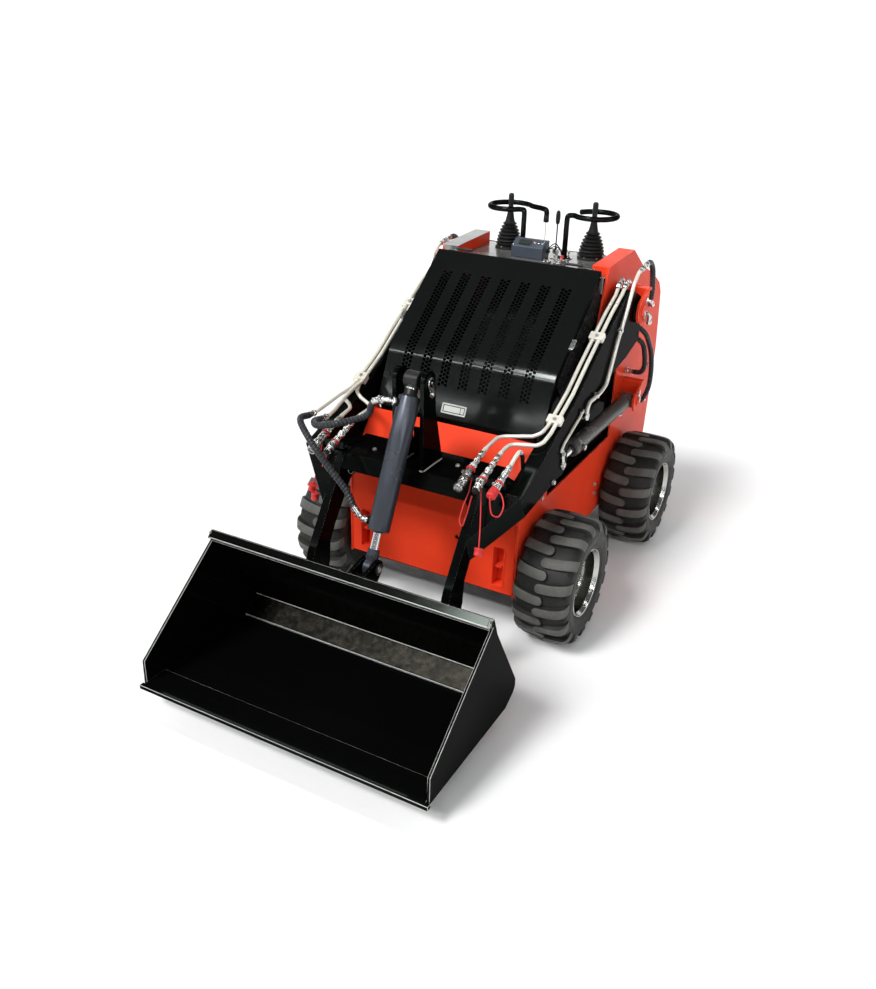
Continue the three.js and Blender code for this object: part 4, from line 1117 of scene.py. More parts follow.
def tilt_cylinder():
    A, F = Vector((-310, 1010)), Vector((-585, 431))
    L = (F - A).length
    u = (F - A) / L
    ax = Vector((0, u.x, u.y))
    up = Vector((0, -ax.z, ax.y))

    def at(d, dx=0):
        q = A + u * d
        return P(dx, q.x, q.y)
    b = B()
    prof = [(0, 56), (33, 56), (36.4, 58), (37.8, 62), (37.8, 470), (37.4, 472), (37.4, 511), (36.0, 515), (27, 516), (17.5, 516), (16.4, 513), (16.4, 196), (0, 196)]
    b.add(lathe(prof, at(0), ax, 56), SLATE)
    b.add(lathe([(15.7, -26), (28, -26), (30, -24), (30, 24), (28, 26), (15.7, 26)], at(0), (1, 0, 0), 40, wrap=True), SATIN)
    b.add(lathe([(0, 14), (23, 14), (23, 50), (25.5, 54), (26.5, 56.5), (0, 56.5)], at(0), ax, 36), SATIN)
    b.add(lathe([(23.2, 27), (24.4, 28), (24.4, 33), (23.2, 34)], at(0), ax, 36), STEEL)
    weld(b, [at(55) + (Vector((1, 0, 0)) * math.cos(a) + up * math.sin(a)) * .0262 for a in [2 * math.pi * k / 56 for k in range(57)]], 2.2, SATIN)
    b.add(lathe([(15.8, 512), (21.5, 512), (21.5, 519), (18.5, 522), (15.8, 522)], at(0), ax, 32, wrap=True), BLACKP)
    # ports with bosses and hex nuts
    c = at(85)
    d = (Vector((-40, -36, 17))).normalized()
    b.add(cyl(c + d * .030, c + d * .0435, 14.5, 20, 1.2), BLACK)
    hexnut(b, c + d * .0425, c + d * .0535, 14.0, STEEL)
    c2 = at(490)
    d2 = Vector((-1, 0, 0))
    b.add(cyl(c2 + d2 * .030, c2 + d2 * .0445, 15, 20, 1.2), BLACK)
    hexnut(b, c2 + d2 * .0435, c2 + d2 * .0555, 14.0, STEEL)
    b.make("tilt_barrel_look", "tilt_barrel", "cylinder_grey", angle=32, replaces=("tilt_cylinder_barrel",))
    b = B()
    b.add(lathe([(0, 262), (15, 262), (15, L - 34), (0, L - 34)], at(0), ax, 40), CHROME)
    b.add(lathe([(0, L - 62), (18, L - 62), (21, L - 58), (22, L - 34), (20, L - 22), (0, L - 22)], at(0), ax, 32), SLATE)
    b.add(lathe([(18.0, -14), (28, -14), (30, -12), (30, 12), (28, 14), (18.0, 14)], at(L), (1, 0, 0), 40, wrap=True), SLATE)
    b.add(lathe([(18.2, L - 60), (19.6, L - 59), (19.6, L - 56), (18.2, L - 55)], at(0), ax, 32), STEEL)
    b.make("tilt_rod_look", "tilt_rod", "chrome_rod", angle=32, replaces=("tilt_cylinder_rod",))
    # pins: top pin in the tower with its keeper plate, lower pin in the quick-attach ears
    b = B()
    t = at(0)
    b.add(lathe([(0, 60.2), (17, 60.2), (17, 65), (15.5, 67.6), (0, 67.6)], t, (1, 0, 0), 32), STEEL)
    b.add(lathe([(0, -67.6), (15.5, -67.6), (17, -65), (17, -60.2), (0, -60.2)], t, (1, 0, 0), 32), STEEL)
    # oval keeper on the left plate, running down and back from the pin
    kd = Vector((0, 0.28, -0.96)).normalized(); kn = Vector((0, kd.z, -kd.y))

    def kp(v, w, x):
        return t + Vector((x * .001, 0, 0)) + kd * (v * .001) + kn * (w * .001)
    ov = [(math.cos(a) * 19, math.sin(a) * 19) for a in [math.pi * (0.5 + k / 14) for k in range(15)]] + [(46 + 13 * math.cos(a), 13 * math.sin(a)) for a in [math.pi * (-0.5 + k / 12) for k in range(13)]]
    b.add(slab(ov, kp, 67.6 - 7, 67.6 - 1.2), STEEL)
    bolt(b, kp(46, 0, 66.4), (1, 0, 0), 13, BOLTM, washer=False, head=5)
    bolt(b, kp(0, 0, 67.4), (1, 0, 0), 9, BOLTM, washer=False, head=3)
    b.make("tilt_top_pin", "loader_arms", "chrome_rod", bevel=0.0004, segs=1, bangle=40)
    b = B()
    e = at(L)
    b.add(lathe([(0, -37), (11.5, -37), (14.2, -34.6), (14.2, -21), (11.0, -19), (11.0, 19), (14.2, 21), (14.2, 34.6), (11.5, 37), (0, 37)], e, (1, 0, 0), 32), STEEL)
    for x0, x1 in ((33.0, 37.5), (-37.5, -33.0)):
        b.add(lathe([(14.4, x0), (19, x0), (20, x0 + 1), (20, x1 - 1), (19, x1), (14.4, x1)], e, (1, 0, 0), 32, wrap=True), SATIN)
    for x in (36.8, -36.8):
        bolt(b, e + Vector((x * .001, 0, 0)), (1 if x > 0 else -1, 0, 0), 14, BOLTM, washer=False, head=5)
    b.make("tilt_lower_pin", "bucket_carrier", "chrome_rod", angle=32)


tilt_cylinder()


# ===================================================== hard lines and hoses
def wrapped(path, r=11.4, pitch=13.0, sides=16, step=0.0014):
    """hose with a helical guard wound round it: radius swells along a helix"""
    pts, acc = [path[0]], 0.0
    for a, c in zip(path, path[1:]):
        L = (c - a).length
        n = max(1, int(round(L / step)))
        pts += [a.lerp(c, k / n) for k in range(1, n + 1)]
    tang = [(pts[min(i + 1, len(pts) - 1)] - pts[max(i - 1, 0)]).normalized() for i in range(len(pts))]
    u, w, _ = frame_of(tang[0])
    verts, faces, s, low = [], [], 0.0, []
    for i, p in enumerate(pts):
        t = tang[i]
        u = (u - t * u.dot(t)).normalized()
        w = t.cross(u)
        if i:
            s += (p - pts[i - 1]).length
        for k in range(sides):
            a = 2 * math.pi * k / sides
            ph = (s * 1000 / pitch - k / sides) % 1.0
            h = min(1.0, max(0.0, (0.5 - abs(ph - 0.5)) * 6.5 - 0.35))
            rr = (r - 2.8 + 2.8 * h) * .001
            low.append(h < 0.5)
            verts.append(p + (u * math.cos(a) + w * math.sin(a)) * rr)
    for i in range(len(pts) - 1):
        for k in range(sides):
            l = (k + 1) % sides
            faces.append([i * sides + k, i * sides + l, (i + 1) * sides + l, (i + 1) * sides + k])
    faces.append(list(range(sides))[::-1])
    faces.append([(len(pts) - 1) * sides + k for k in range(sides)])
    return verts, faces, low


def add_wrapped(b, geo):
    """guard strip and the darker hose that shows between its turns"""
    v, f, low = geo
    o = len(b.f)
    b.add((v, f), WRAP)
    if HOSE not in b.mats:
        b.mats.append(HOSE)
    k = b.mats.index(HOSE)
    for i, fc in enumerate(f):
        if len(fc) == 4 and sum(low[j] for j in fc) >= 3:
            b.mi[o + i] = k


def crimp(b, a, c, r=11.0):
    """crimped ferrule and swivel nut, from the hose side a to the fitting side c"""
    L = (c - a).length * 1000
    d = c - a
    k = L - 12
    b.add(lathe([(0, -1), (r, -1), (r, 2), (r - .9, 3), (r - .9, k * .38), (r, k * .42), (r, k * .5), (r - .9, k * .54), (r - .9, k * .88), (r * .92, k), (0, k)], a, d, 24), STEEL)
    b.add(lathe([(0, k), (r * 1.0, k), (r * 1.14, k + 1.4), (r * 1.14, L - 1.4), (r * 1.0, L), (0, L)], a, d, 6), STEEL)


def pth(pts, step=0.006):
    return catmull([P(*p) for p in pts], step)


TA = [[385, 590, 1213.5], [385, 542, 1166.5], [385, 446, 1121.5], [385, 332, 1053.5], [385, 217, 983.5], [385, 107, 911.5], [385, -50, 839.5]]
TB = [[408, 600, 1209.5], [408, 548, 1173.5], [408, 442, 1120.5], [408, 332, 1053.5], [408, 217, 983.5], [408, 107, 911.5], [408, -78, 827.5]]


def nut_on(b, p, q, r=11.4, L=20, mat=None):
    """union nut with a collar, centred at p along p->q"""
    d = (q - p).normalized()
    hexnut(b, p - d * (L * .0005), p + d * (L * .0005), r, mat or STEEL)
    b.add(cyl(p + d * (L * .0005), p + d * (L * .0005 + .006), r * .74, 18, 1.0), mat or STEEL)


def line_clamp(b, y, z, x0, x1, xs, up=0.0):
    """pressed clamp: two plates round the tubes and one screw"""
    t = Vector((0, 0.845, 0.535))
    n = Vector((0, -0.535, 0.845))
    o = P((x0 + x1) / 2, y, z) + n * .0045

    def q(u, v, w):
        return o + Vector((u * .001, 0, 0)) + t * (v * .001) + n * ((w + up) * .001)
    hw = (x1 - x0) / 2
    b.add(slab(slot_shape(-hw, hw, -17, 17, 4), q, -9.5, -1.2), ZINC)
    b.add(slab(slot_shape(-hw, hw, -17, 17, 4), q, -0.4, 7.6), ZINC)
    b.add(lathe([(0, 0), (7.5, 0), (7.5, 1.4), (0, 1.4)], q(0, 0, 7.6), n, 20), BOLTM)
    b.add(lathe([(0, 0), (5.4, 0), (5.4, 3.4), (4.6, 4.4), (2.8, 4.4), (2.8, 2.2), (0, 2.2)], q(0, 0, 9), n, 24), BOLTM)


def hard_lines(side, s):
    b = B()
    if s > 0:
        A = TA + [[376, -80, 822], [350, -92, 808], [250, -110, 792], [234, -130, 790], [234, -190, 786], [234, -240, 780], [234, -281.5, 766]]
        Bq = TB + [[402, -122, 809], [386, -140, 799], [310, -150, 790], [295, -166, 789], [293, -200, 786], [293, -245, 778], [293, -281.5, 766]]
        xs = (234, 293)
    else:
        A = TA + [[376, -80, 822], [350, -92, 808], [302, -106, 793], [286, -126, 790], [286, -190, 786], [286, -240, 780], [286, -281.5, 766]]
        Bq = TB + [[406, -112, 819], [396, -134, 808], [366, -148, 799], [348, -166, 790], [345, -200, 787], [345, -245, 778], [345, -281.5, 766]]
        xs = (286, 345)
    for T in (A, Bq):
        b.add(ring_tube(fillet([P(*p) for p in T], 28, 7), 7.0, 16), ZINC)
        p, q = P(*T[0]), P(*T[1])
        nut_on(b, p.lerp(q, 0.30), q, 11.4, 24)
        # short elbow to the hose that comes out of the chassis
        d = (p - q).normalized()
        e = p - Vector((0.0, 0, 0))
        b.add(ring_tube(fillet([p.lerp(q, 0.1), p + d * .010, p + d * .010 + Vector((0, .022, -.012))], 10, 6), 7.4, 14), STEEL)
    for x in xs:
        # union nut and reducer next to each coupler's tail
        a, c = P(x, -243, 777), P(x, -270, 769)
        hexnut(b, a, c, 10.8, STEEL)
        b.add(cyl(c, P(x, -281, 766), 8.4, 18, 1.0), STEEL)
        hexnut(b, P(x, -222, 782.5), P(x, -232, 780), 8.6, ZINC)
    for y, z in ((342, 1055.5), (-18, 850)):
        line_clamp(b, y, z, 369.5, 424.5, (385, 408))
    if s > 0:
        # third coupler's short elbow that turns back down beside the arm
        E = fillet([P(352, -278, 768), P(352, -238, 786), P(354, -208, 800), P(360, -196, 770), P(362, -190, 712)], 18, 7)
        b.add(ring_tube(E[:len(E) * 2 // 3], 7.0, 16), ZINC)
        b.add(ring_tube(E[len(E) * 2 // 3 - 1:], 7.2, 14), HOSE)
    else:
        # two more lines on this side end at the tilt cylinder's hoses
        for k, (x, end) in enumerate(((398, [[396, -90, 838], [392, -180, 834], [387, -270, 826], [384, -330, 822]]), (377, [[376, -110, 840], [368, -180, 828], [357, -250, 812], [352, -300, 806]]))):
            up = [[x, y - 7.5, z + 12.5] for _, y, z in TA[:-1]] + [[x, -45, 852]] + end
            path = fillet([P(*p) for p in up], 30, 7)
            b.add(ring_tube(path, 7.0, 16), ZINC)
            nut_on(b, path[0].lerp(path[3], 0.4), path[4], 11, 24)
        for y, z in ((342, 1055.5), (-18, 850)):
            line_clamp(b, y, z, 366, 408, (377, 398), up=13.5)
    if s < 0:
        b.v = [(-v[0], v[1], v[2]) for v in b.v]
        b.f = [list(reversed(f)) for f in b.f]
    b.make("hydraulic_lines_look_" + side, "loader_arms", "zinc_line", angle=38, replaces=("hydraulic_lines_" + side,))


def couplers(side, s):
    b = B()
    xs = (234, 293, 352) if s > 0 else (286, 345)
    d = Vector((0, -140, -50)).normalized()
    for k, x in enumerate(xs):
        o = P(x, -284, 765)
        kind = k if s > 0 else (1, 0)[k]
        b.add(lathe([(0, 0), (9.6, 0), (11.6, 1.2), (11.6, 14), (10, 15.5), (8.2, 15.5), (8.2, 24), (10, 24), (0, 24)], o, d, 6), STEEL)
        b.add(lathe([(0, 18), (8.4, 18), (8.4, 26), (12.6, 27), (13.8, 28.4), (13.8, 40), (12.6, 41.4), (0, 41.4)], o, d, 6), STEEL)
        if kind == 0:      # female coupler: long sleeve with an open end
            b.add(lathe([(0, 40), (13, 40), (13.4, 54), (14.2, 56), (14.6, 72), (15.0, 74), (15.0, 79), (14.2, 80.4), (14.2, 96), (16.2, 99), (16.8, 101), (16.8, 132), (16.0, 134), (17.0, 137), (17.0, 147), (15.6, 148.6), (12.6, 148.6), (12.2, 140), (9.4, 138), (9.0, 128), (0, 128)], o, d, 36), STEEL)
            for h in (104, 109, 114, 119, 124):
                b.add(lathe([(16.6, h), (17.2, h + 1), (17.2, h + 2.2), (16.6, h + 3.2)], o, d, 36, wrap=True), STEEL)
            b.add(lathe([(0, 128), (5.2, 128), (5.2, 136), (4, 139), (0, 139.5)], o, d, 18), STEEL)
            ring_h = 46
        else:              # male plug: stepped nose
            b.add(lathe([(0, 40), (12.2, 40), (12.2, 47), (10.6, 48.5), (10.6, 58), (13.2, 60), (13.8, 62), (13.8, 74), (12, 76), (12, 84), (14.2, 86), (14.6, 88), (14.6, 112), (13.6, 114), (11.6, 116), (11.6, 124), (13.4, 126), (13.4, 131), (11.8, 133), (0, 133)], o, d, 32), STEEL)
            if kind == 1:
                b.add(lathe([(0, 132), (10.6, 132), (10.6, 140), (9.4, 143), (7.6, 144), (7.4, 147), (0, 147)], o, d, 28), BLACKP)
            ring_h = 78
            for h in (92, 97, 102, 107):
                b.add(lathe([(14.4, h), (15.0, h + .8), (15.0, h + 2.0), (14.4, h + 3.0)], o, d, 32, wrap=True), STEEL)
        rr = 13.4 if kind == 0 else 12.0
        b.add(lathe([(rr, ring_h), (rr + 2.6, ring_h + .4), (rr + 3.2, ring_h + 1.6), (rr + 3.2, ring_h + 5.2), (rr + 2.6, ring_h + 6.6), (rr, ring_h + 7)], o, d, 32, wrap=True), REDRUB)
        if kind == 2:      # this one wears its dust cap
            b.add(lathe([(0, 149), (11, 149), (14.4, 147), (16.6, 143), (17.0, 139), (16.0, 137), (16.0, 131), (17.0, 129), (17.0, 124), (15.6, 121), (15.6, 112), (14.0, 110.5), (0, 110.5)], o, d, 32), REDRUB)
    x0, x1 = (214, 367) if s > 0 else (266, 365)
    # black clamp rail with its saddles and screws
    b.add(cube(x0, x1, -338, -330, 700.4, 736), BLACK)
    b.add(cube(x0, x1, -338, -306, 700.4, 707), BLACK)
    for x in ((263.5, 322.5) if s > 0 else (315.5,)):
        bolt(b, P(x, -318, 707), (0, 0, 1), 10, BOLTM)
        bolt(b, P(x, -338, 722), (0, -1, 0), 8, BOLTM)
    if s < 0:
        b.v = [(-v[0], v[1], v[2]) for v in b.v]
        b.f = [list(reversed(f)) for f in b.f]
    b.make("coupler_bank_look_" + side, "loader_arms", "zinc_line", angle=36, replaces=("coupler_bank_" + side,))


def dust_cap(b, o, d):
    """soft red cap with a grip rim"""
    d = Vector(d).normalized()
    b.add(lathe([(12.6, 0), (14.6, .6), (15.0, 2.4), (15.0, 5), (13.8, 6.4), (13.4, 20), (14.4, 22), (14.4, 25), (12.4, 27.4), (6, 28.4), (0, 28.6), (0, 25), (11.0, 24.6), (11.8, 3)], o, d, 28), REDRUB)


def strap(b, pts, r=2.3):
    b.add(ring_tube(catmull([P(*p) for p in pts], 0.005), r, 8), REDRUB)


def straps():
    b = B()
    # left bank: a long strap down the leg's front face, a slack loop, and the worn cap's own loop
    strap(b, [[293, -372, 716], [303, -388, 690], [315, -410, 650], [327, -434, 602], [337, -456, 562], [341, -466, 545]])
    dust_cap(b, P(341, -465, 547), (0.10, -0.50, -1))
    strap(b, [[246, -345, 726], [252, -374, 690], [247, -404, 644], [250, -430, 600], [262, -436, 592], [271, -424, 630], [283, -424, 684], [290, -430, 706]])
    strap(b, [[352, -424, 720], [358, -436, 698], [374, -448, 668], [392, -440, 664], [398, -420, 690], [382, -400, 716], [362, -392, 730]])
    # right bank
    strap(b, [[-300, -370, 716], [-318, -374, 676], [-334, -384, 620], [-344, -396, 560], [-346, -402, 540]])
    dust_cap(b, P(-346, -402, 542), (-0.05, -0.16, -1))
    strap(b, [[-352, -340, 724], [-352, -352, 690], [-352, -372, 640], [-358, -388, 590], [-366, -392, 566]])
    dust_cap(b, P(-366, -391, 568), (-0.25, 0.1, -1))
    b.make("dust_caps", "loader_arms", None, angle=50)


for side, s in SIDES:
    hard_lines(side, s)
    couplers(side, s)
straps()


def tilt_hoses():
    up = [[-150, -360, 870], [-235, -420, 840], [-310, -430, 820], [-352, -386, 813], [-352, -340, 806]]
    lo = [[-92, -528.2, 597.4], [-140, -505, 640], [-225, -500, 720], [-310, -480, 790], [-380, -430, 830], [-384, -370, 823]]
    # rigid ends on the barrel
    b = B()
    q1 = P(0, -346.5, 933.2)
    d = Vector((-40, -36, 17)).normalized()
    a = q1 + d * .050
    elbow = fillet([a, a + d * .014, P(-72, -394, 953)], 9, 6)
    b.add(ring_tube(elbow, 8.6, 16), STEEL)
    crimp(b, P(-106, -386.5, 936), P(-68, -394.6, 953), 12.6)
    lower = fillet([P(-52, -520.2, 567.4), P(-69, -520.4, 568), P(-80, -523.5, 578)], 9, 6)
    b.add(ring_tube(lower, 8.6, 16), STEEL)
    b.add(lathe([(0, 0), (11.4, 0), (12.4, 1.4), (12.4, 12), (11.4, 13.4), (0, 13.4)], P(-58, -520.2, 567.4), (-1, 0, 0), 20), STEEL)
    crimp(b, P(-102, -526, 606), P(-79, -523, 577), 12.6)
    b.make("tilt_hose_ends", "tilt_barrel", "zinc_line", angle=36)
    b = B()
    crimp(b, P(-352, -348, 807), P(-352, -312, 805.5), 11.2)
    crimp(b, P(-384, -378, 824), P(-384, -340, 822), 11.2)
    b.make("tilt_hose_arm_ends", "loader_arms", "zinc_line", angle=36)
    for name, pts, head, tail in (("tilt_hose_upper", up, [[-104, -387, 937], [-126, -375, 913]], None), ("tilt_hose_lower", lo, [[-101, -526, 604]], None)):
        g = wrapped(pth((head or []) + pts[(1 if name == "tilt_hose_lower" else 0):], 0.004), 12.0, 13.0)
        b = B()
        add_wrapped(b, g)
        ob = b.make(name + "_look", "loader_arms", "hose_rubber", angle=60, replaces=(name,))
        m = ob.matrix_world.copy()
        ob.parent = None
        ob.matrix_world = m
        if "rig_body" in ob:
            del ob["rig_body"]
        if name == "tilt_hose_upper":
            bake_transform(ob)
        else:
            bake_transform(ob)


tilt_hoses()


def side_hydraulics(side, s):
    def flip(b):
        if s < 0:
            b.v = [(-v[0], v[1], v[2]) for v in b.v]
            b.f = [list(reversed(f)) for f in b.f]
        return b
    # hard line on the arm's outer face with clips and unions
    b = B()
    L = [[434, 745, 1255], [434, 650, 1242], [434, 603, 1206], [434, 552, 1117], [434, 482, 1017], [434, 433, 925], [434, 397, 866], [434, 340, 852], [434, 225, 850], [434, 206, 832], [434, 203, 800]]
    b.add(ring_tube(fillet([P(*p) for p in L], 32, 8), 7.0, 16), ZINC)
    nut_on(b, P(434, 700, 1248.6), P(434, 650, 1242), 11.4, 26)
    nut_on(b, P(434, 668, 1244.4), P(434, 650, 1242), 10.2, 14)
    crimp(b, P(434, 752, 1255.4), P(434, 712, 1250.3), 10.6)
    hexnut(b, P(434, 204, 812), P(434, 203, 794), 10.2, STEEL)
    b.add(cyl(P(434, 203, 796), P(420, 203, 796), 8.4, 16, 1.0), STEEL)
    b.add(cyl(P(434, 203, 788), P(434, 203, 800), 8.8, 16, 1.5), STEEL)
    for y, z in ((505, 1048), (300, 851)):
        b.add(cube(424.6, 427.4, y - 9, y + 9, z - 20, z + 12), STEEL)
        b.add(cube(426, 441, y - 8, y + 8, z - 7.2, z + 7.2), STEEL)
        bolt(b, P(427.2, y, z - 14), (1, 0, 0), 8, BOLTM, washer=False)
    # short feed line to the lift cylinder's front port side
    S = fillet([P(430, 164, 834), P(430, 150, 820), P(430, 4, 764), P(430, -8, 752), P(426.5, -12, 736)], 14, 6)
    b.add(ring_tube(S, 5.0, 12), ZINC)
    hexnut(b, P(430, 168, 838), P(430, 158, 828), 8.0, STEEL)
    flip(b).make("lift_line_look_" + side, "loader_arms", "zinc_line", angle=38, replaces=("lift_line_" + side,))
    # hose over the arm pivot
    b = B()
    pts = [[434, 749, 1255], [434, 785, 1254], [434, 826, 1226], [434, 852, 1172], [434, 864, 1116], [424, 872, 1072], [400, 878, 1053], [376, 879.5, 1050]]
    add_wrapped(b, wrapped(pth(pts, 0.004), 11.4, 13))
    ob = flip(b).make("pivot_hose_look_" + side, "chassis", "hose_rubber", angle=60, replaces=("pivot_hose_" + side,))
    m = ob.matrix_world.copy()
    ob.parent = None
    ob.matrix_world = m
    if "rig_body" in ob:
        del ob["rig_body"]
    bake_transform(ob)
    b = B()
    crimp(b, P(381, 879.4, 1050), P(354.5, 880, 1050), 11.0)
    # two wrapped hoses bowed out behind the lift cylinder, with elbows
    h1 = [[380, 812, 985], [408, 814, 984], [434, 836, 958], [440, 898, 900], [440, 962, 826], [439, 994, 730], [432, 1000, 660], [410, 992, 610], [384, 989, 598]]
    h2 = [[380, 812, 939.5], [408, 813, 937], [434, 824, 914], [441, 850, 862], [438, 876, 800], [418, 897, 769], [382, 907, 763]]
    for h in (h1, h2):
        add_wrapped(b, wrapped(pth(h, 0.004), 10.8, 13))
    for x0, y0, z0, x1, y1, z1 in ((383, 812, 985, 354.5, 812, 986), (383, 812, 939.5, 354.5, 812, 940), (386, 989, 598, 354.5, 989, 597), (385, 906.7, 763, 354.5, 908, 763)):
        crimp(b, P(x0, y0, z0), P(x1, y1, z1), 12.2)
        b.add(lathe([(0, 0), (15, 0), (15, 1.8), (13.5, 2.6), (0, 2.6)], P(353, y1, z1), (1, 0, 0), 24), BOLTM)
    b.add(cube(388, 404, 803, 821, 930, 992), BLACKP)
    b.add(cube(388.5, 403.5, 801.5, 803.4, 931, 991), STEEL)
    bolt(b, P(396, 801.6, 961), (0, -1, 0), 8, BOLTM)
    b.add(cube(353, 390, 807, 817, 958, 966), BLACK)
    flip(b).make("lift_hoses_look_" + side, "chassis", "hose_rubber", angle=48, replaces=("lift_hoses_" + side,))
    # pins: arm pivot, cylinder pins, grease fittings and keepers
    b = B()
    for (y, z, r, x0, x1) in ((725, 1076, 21.5, 441, 451.6), (815, 667, 14.6, 441, 449.6)):
        b.add(lathe([(0, x0), (r, x0), (r, x1 - 1.6), (r - 1.6, x1), (r * .5, x1), (r * .42, x1 - 1.2), (0, x1 - 1.2)], P(0, y, z), (1, 0, 0), 32), STEEL)
    for (y, z, dy, dz) in ((725, 1076, .55, -.84), (815, 667, .25, .97)):
        # grease elbow
        base = P(450, y, z)
        e = fillet([base - Vector((.002, 0, 0)), base + Vector((.0028, 0, 0)), base + Vector((.0028, dy * .020, dz * .020))], 4, 4)
        b.add(ring_tube(e, 3.4, 10), STEEL)
        tip = e[-1]
        b.add(lathe([(0, 0), (3.0, 0), (3.0, 2), (2.2, 3), (2.6, 5), (1.4, 6.4), (0, 6.8)], tip, (0, dy, dz), 12), STEEL)
        k = P(444, y + dy * 34, z + dz * 34)
        t = Vector((0, dy, dz)).normalized(); w = Vector((0, -t.z, t.y))

        def kp(u, v, h, k=k, t=t, w=w):
            return k + t * (u * .001) + w * (v * .001) + Vector((h * .001, 0, 0))
        b.add(slab(slot_shape(-16, 14, -9, 9, 4), kp, 0.3, 5.0), STEEL)
        bolt(b, kp(4, 0, 5.0), (1, 0, 0), 10, BOLTM, washer=False, head=2.4)
    # swivel elbows on the pivot's ear
    for (y, z, y2, z2) in ((768, 1056, 776, 1014), (766, 1108, 790, 1088)):
        b.add(lathe([(0, 0), (13, 0), (13, 3), (11, 4), (11, 8), (0, 8)], P(444, y, z), (1, 0, 0), 6), STEEL)
        e = fillet([P(450, y, z), P(461, y, z), P(462, y2, z2)], 8, 6)
        b.add(ring_tube(e, 7.6, 14), STEEL)
        dd = (e[-1] - e[-2]).normalized()
        hexnut(b, e[-1] - dd * .016, e[-1], 11.0, STEEL)
    flip(b).make("chassis_pins_" + side, "chassis", "zinc_line", angle=34)
    b = B()
    # front eye pin through the arm's clevis with a long keeper
    b.add(lathe([(0, 425), (15, 425), (15, 429), (13.4, 431), (0, 431)], P(0, 16, 677), (1, 0, 0), 32), STEEL)
    t = Vector((0, -0.30, 0.954)); w = Vector((0, -t.z, t.y)); o = P(426, 16, 677)

    def fp(u, v, h):
        return o + t * (u * .001) + w * (v * .001) + Vector((h * .001, 0, 0))
    b.add(slab(slot_shape(-18, 66, -11, 11, 10, 8), fp, 0.2, 5.4), STEEL)
    bolt(b, fp(52, 0, 5.4), (1, 0, 0), 13, BOLTM, washer=True)
    b.add(lathe([(0, 0), (12, 0), (12, 3), (10, 5), (0, 5)], fp(0, 0, 5.2), (1, 0, 0), 6), BOLTM)
    b.add(lathe([(0, 365), (15, 365), (15, 370), (0, 370)], P(0, 16, 677), (1, 0, 0), 28), STEEL)
    # stop bolt on the inside face near the knee
    bolt(b, P(425.2, -62, 640), (1, 0, 0), 16, BOLTM)
    flip(b).make("arm_pins_" + side, "loader_arms", "zinc_line", angle=34)


for side, s in SIDES:
    side_hydraulics(side, s)


# ======================================================== bucket and quick attach
def bucket_trim():
    b = B()
    X = 527.0
    # folded lip: a second angle bar and a wear strip behind the bar, with its seam; the seam and a thin line along the
    # lip are painted highlights
    lip = [(-774, 478), (-752, 500), (-742, 496)]
    b.add(plateX([(-770.5, 480.6), (-752.6, 498.6), (-754.4, 500.4), (-772.3, 482.4)], -X + 4, X - 4), BLACK)
    b.add(plateX([(-766.4, 472.2), (-760.0, 474.4), (-757.2, 468.6), (-763.6, 466.4)], -X + 2, X - 2), BLACK)
    weld(b, [P(x, -757.6, 463.0) for x in (-X + 2, X - 2)], 2.2, EDGE_HIGHLIGHT)
    b.add(ring_tube([P(-X + 2, -771.6, 481.2), P(X - 2, -771.6, 481.2)], 1.5, 8), EDGE_HIGHLIGHT)
    for s in (1, -1):
        xi = s * (X - 1.0)
        # inside seams: cheek to floor, heel and back
        weld(b, [P(xi, -1034, 91.6), P(xi, -619, 82.6)], 3.2)
        weld(b, [P(xi, -617, 84), P(xi, -548.5, 134)], 3.2)
        weld(b, [P(xi, -551, 138), P(xi, -758, 464)], 3.2)
        # rounded bar along the cheek's front edge
        e = [P(s * 530, -1119.5, 184), P(s * 530, -749, 469.5)]
        b.add(ring_tube([e[0], e[1]], 3.6, 14), BLACK)
        b.add(ring_tube([P(s * 530, -1122, 98), P(s * 530, -1119.5, 184)], 3.4, 12), BLACK)
        # two thin pale lines along each cheek's front edge: painted highlights
        for xo in (526.9, 533.1):
            b.add(ring_tube([P(s * xo, -1119.5, 100), P(s * xo, -1119.7, 184), P(s * xo, -749.2, 469.7)], 1.5, 8), EDGE_HIGHLIGHT)
    # floor to edge seam and the two fold lines across the back, drawn in the pale edge paint: painted highlights
    weld(b, [P(x, -1034.5, 103.4 - 9.6) for x in (-X + 3, X - 3)], 2.8, EDGE_HIGHLIGHT)
    for (y, z, r) in ((-619, 86.6, 1.5), (-549.5, 139.5, 1.5)):
        b.add(ring_tube([P(-X + 3, y, z), P(X - 3, y, z)], r, 8), EDGE_HIGHLIGHT)
    # heel strip
    b.add(plateX([(-615, 87.6), (-551, 133.7), (-552.8, 136.1), (-616.8, 90.0)], -X + 5, X - 5), HEELM)
    # skid strips under the floor
    for x in (-360, -120, 120, 360):
        b.add(plateX([(-1100, 85.4), (-640, 74.2), (-640, 69.0), (-1100, 80.2)], x - 22, x + 22), BLACK)
    # reinforcing pad plates at the toe
    for s in (1, -1):
        b.add(cube(*sorted((s * 470, s * 536)), -1136, -1127, 99, 101.6), BLACK)
    b.make("bucket_trim", "bucket_carrier", "black_paint", bevel=0.0004, segs=1, bangle=40)


bucket_trim()


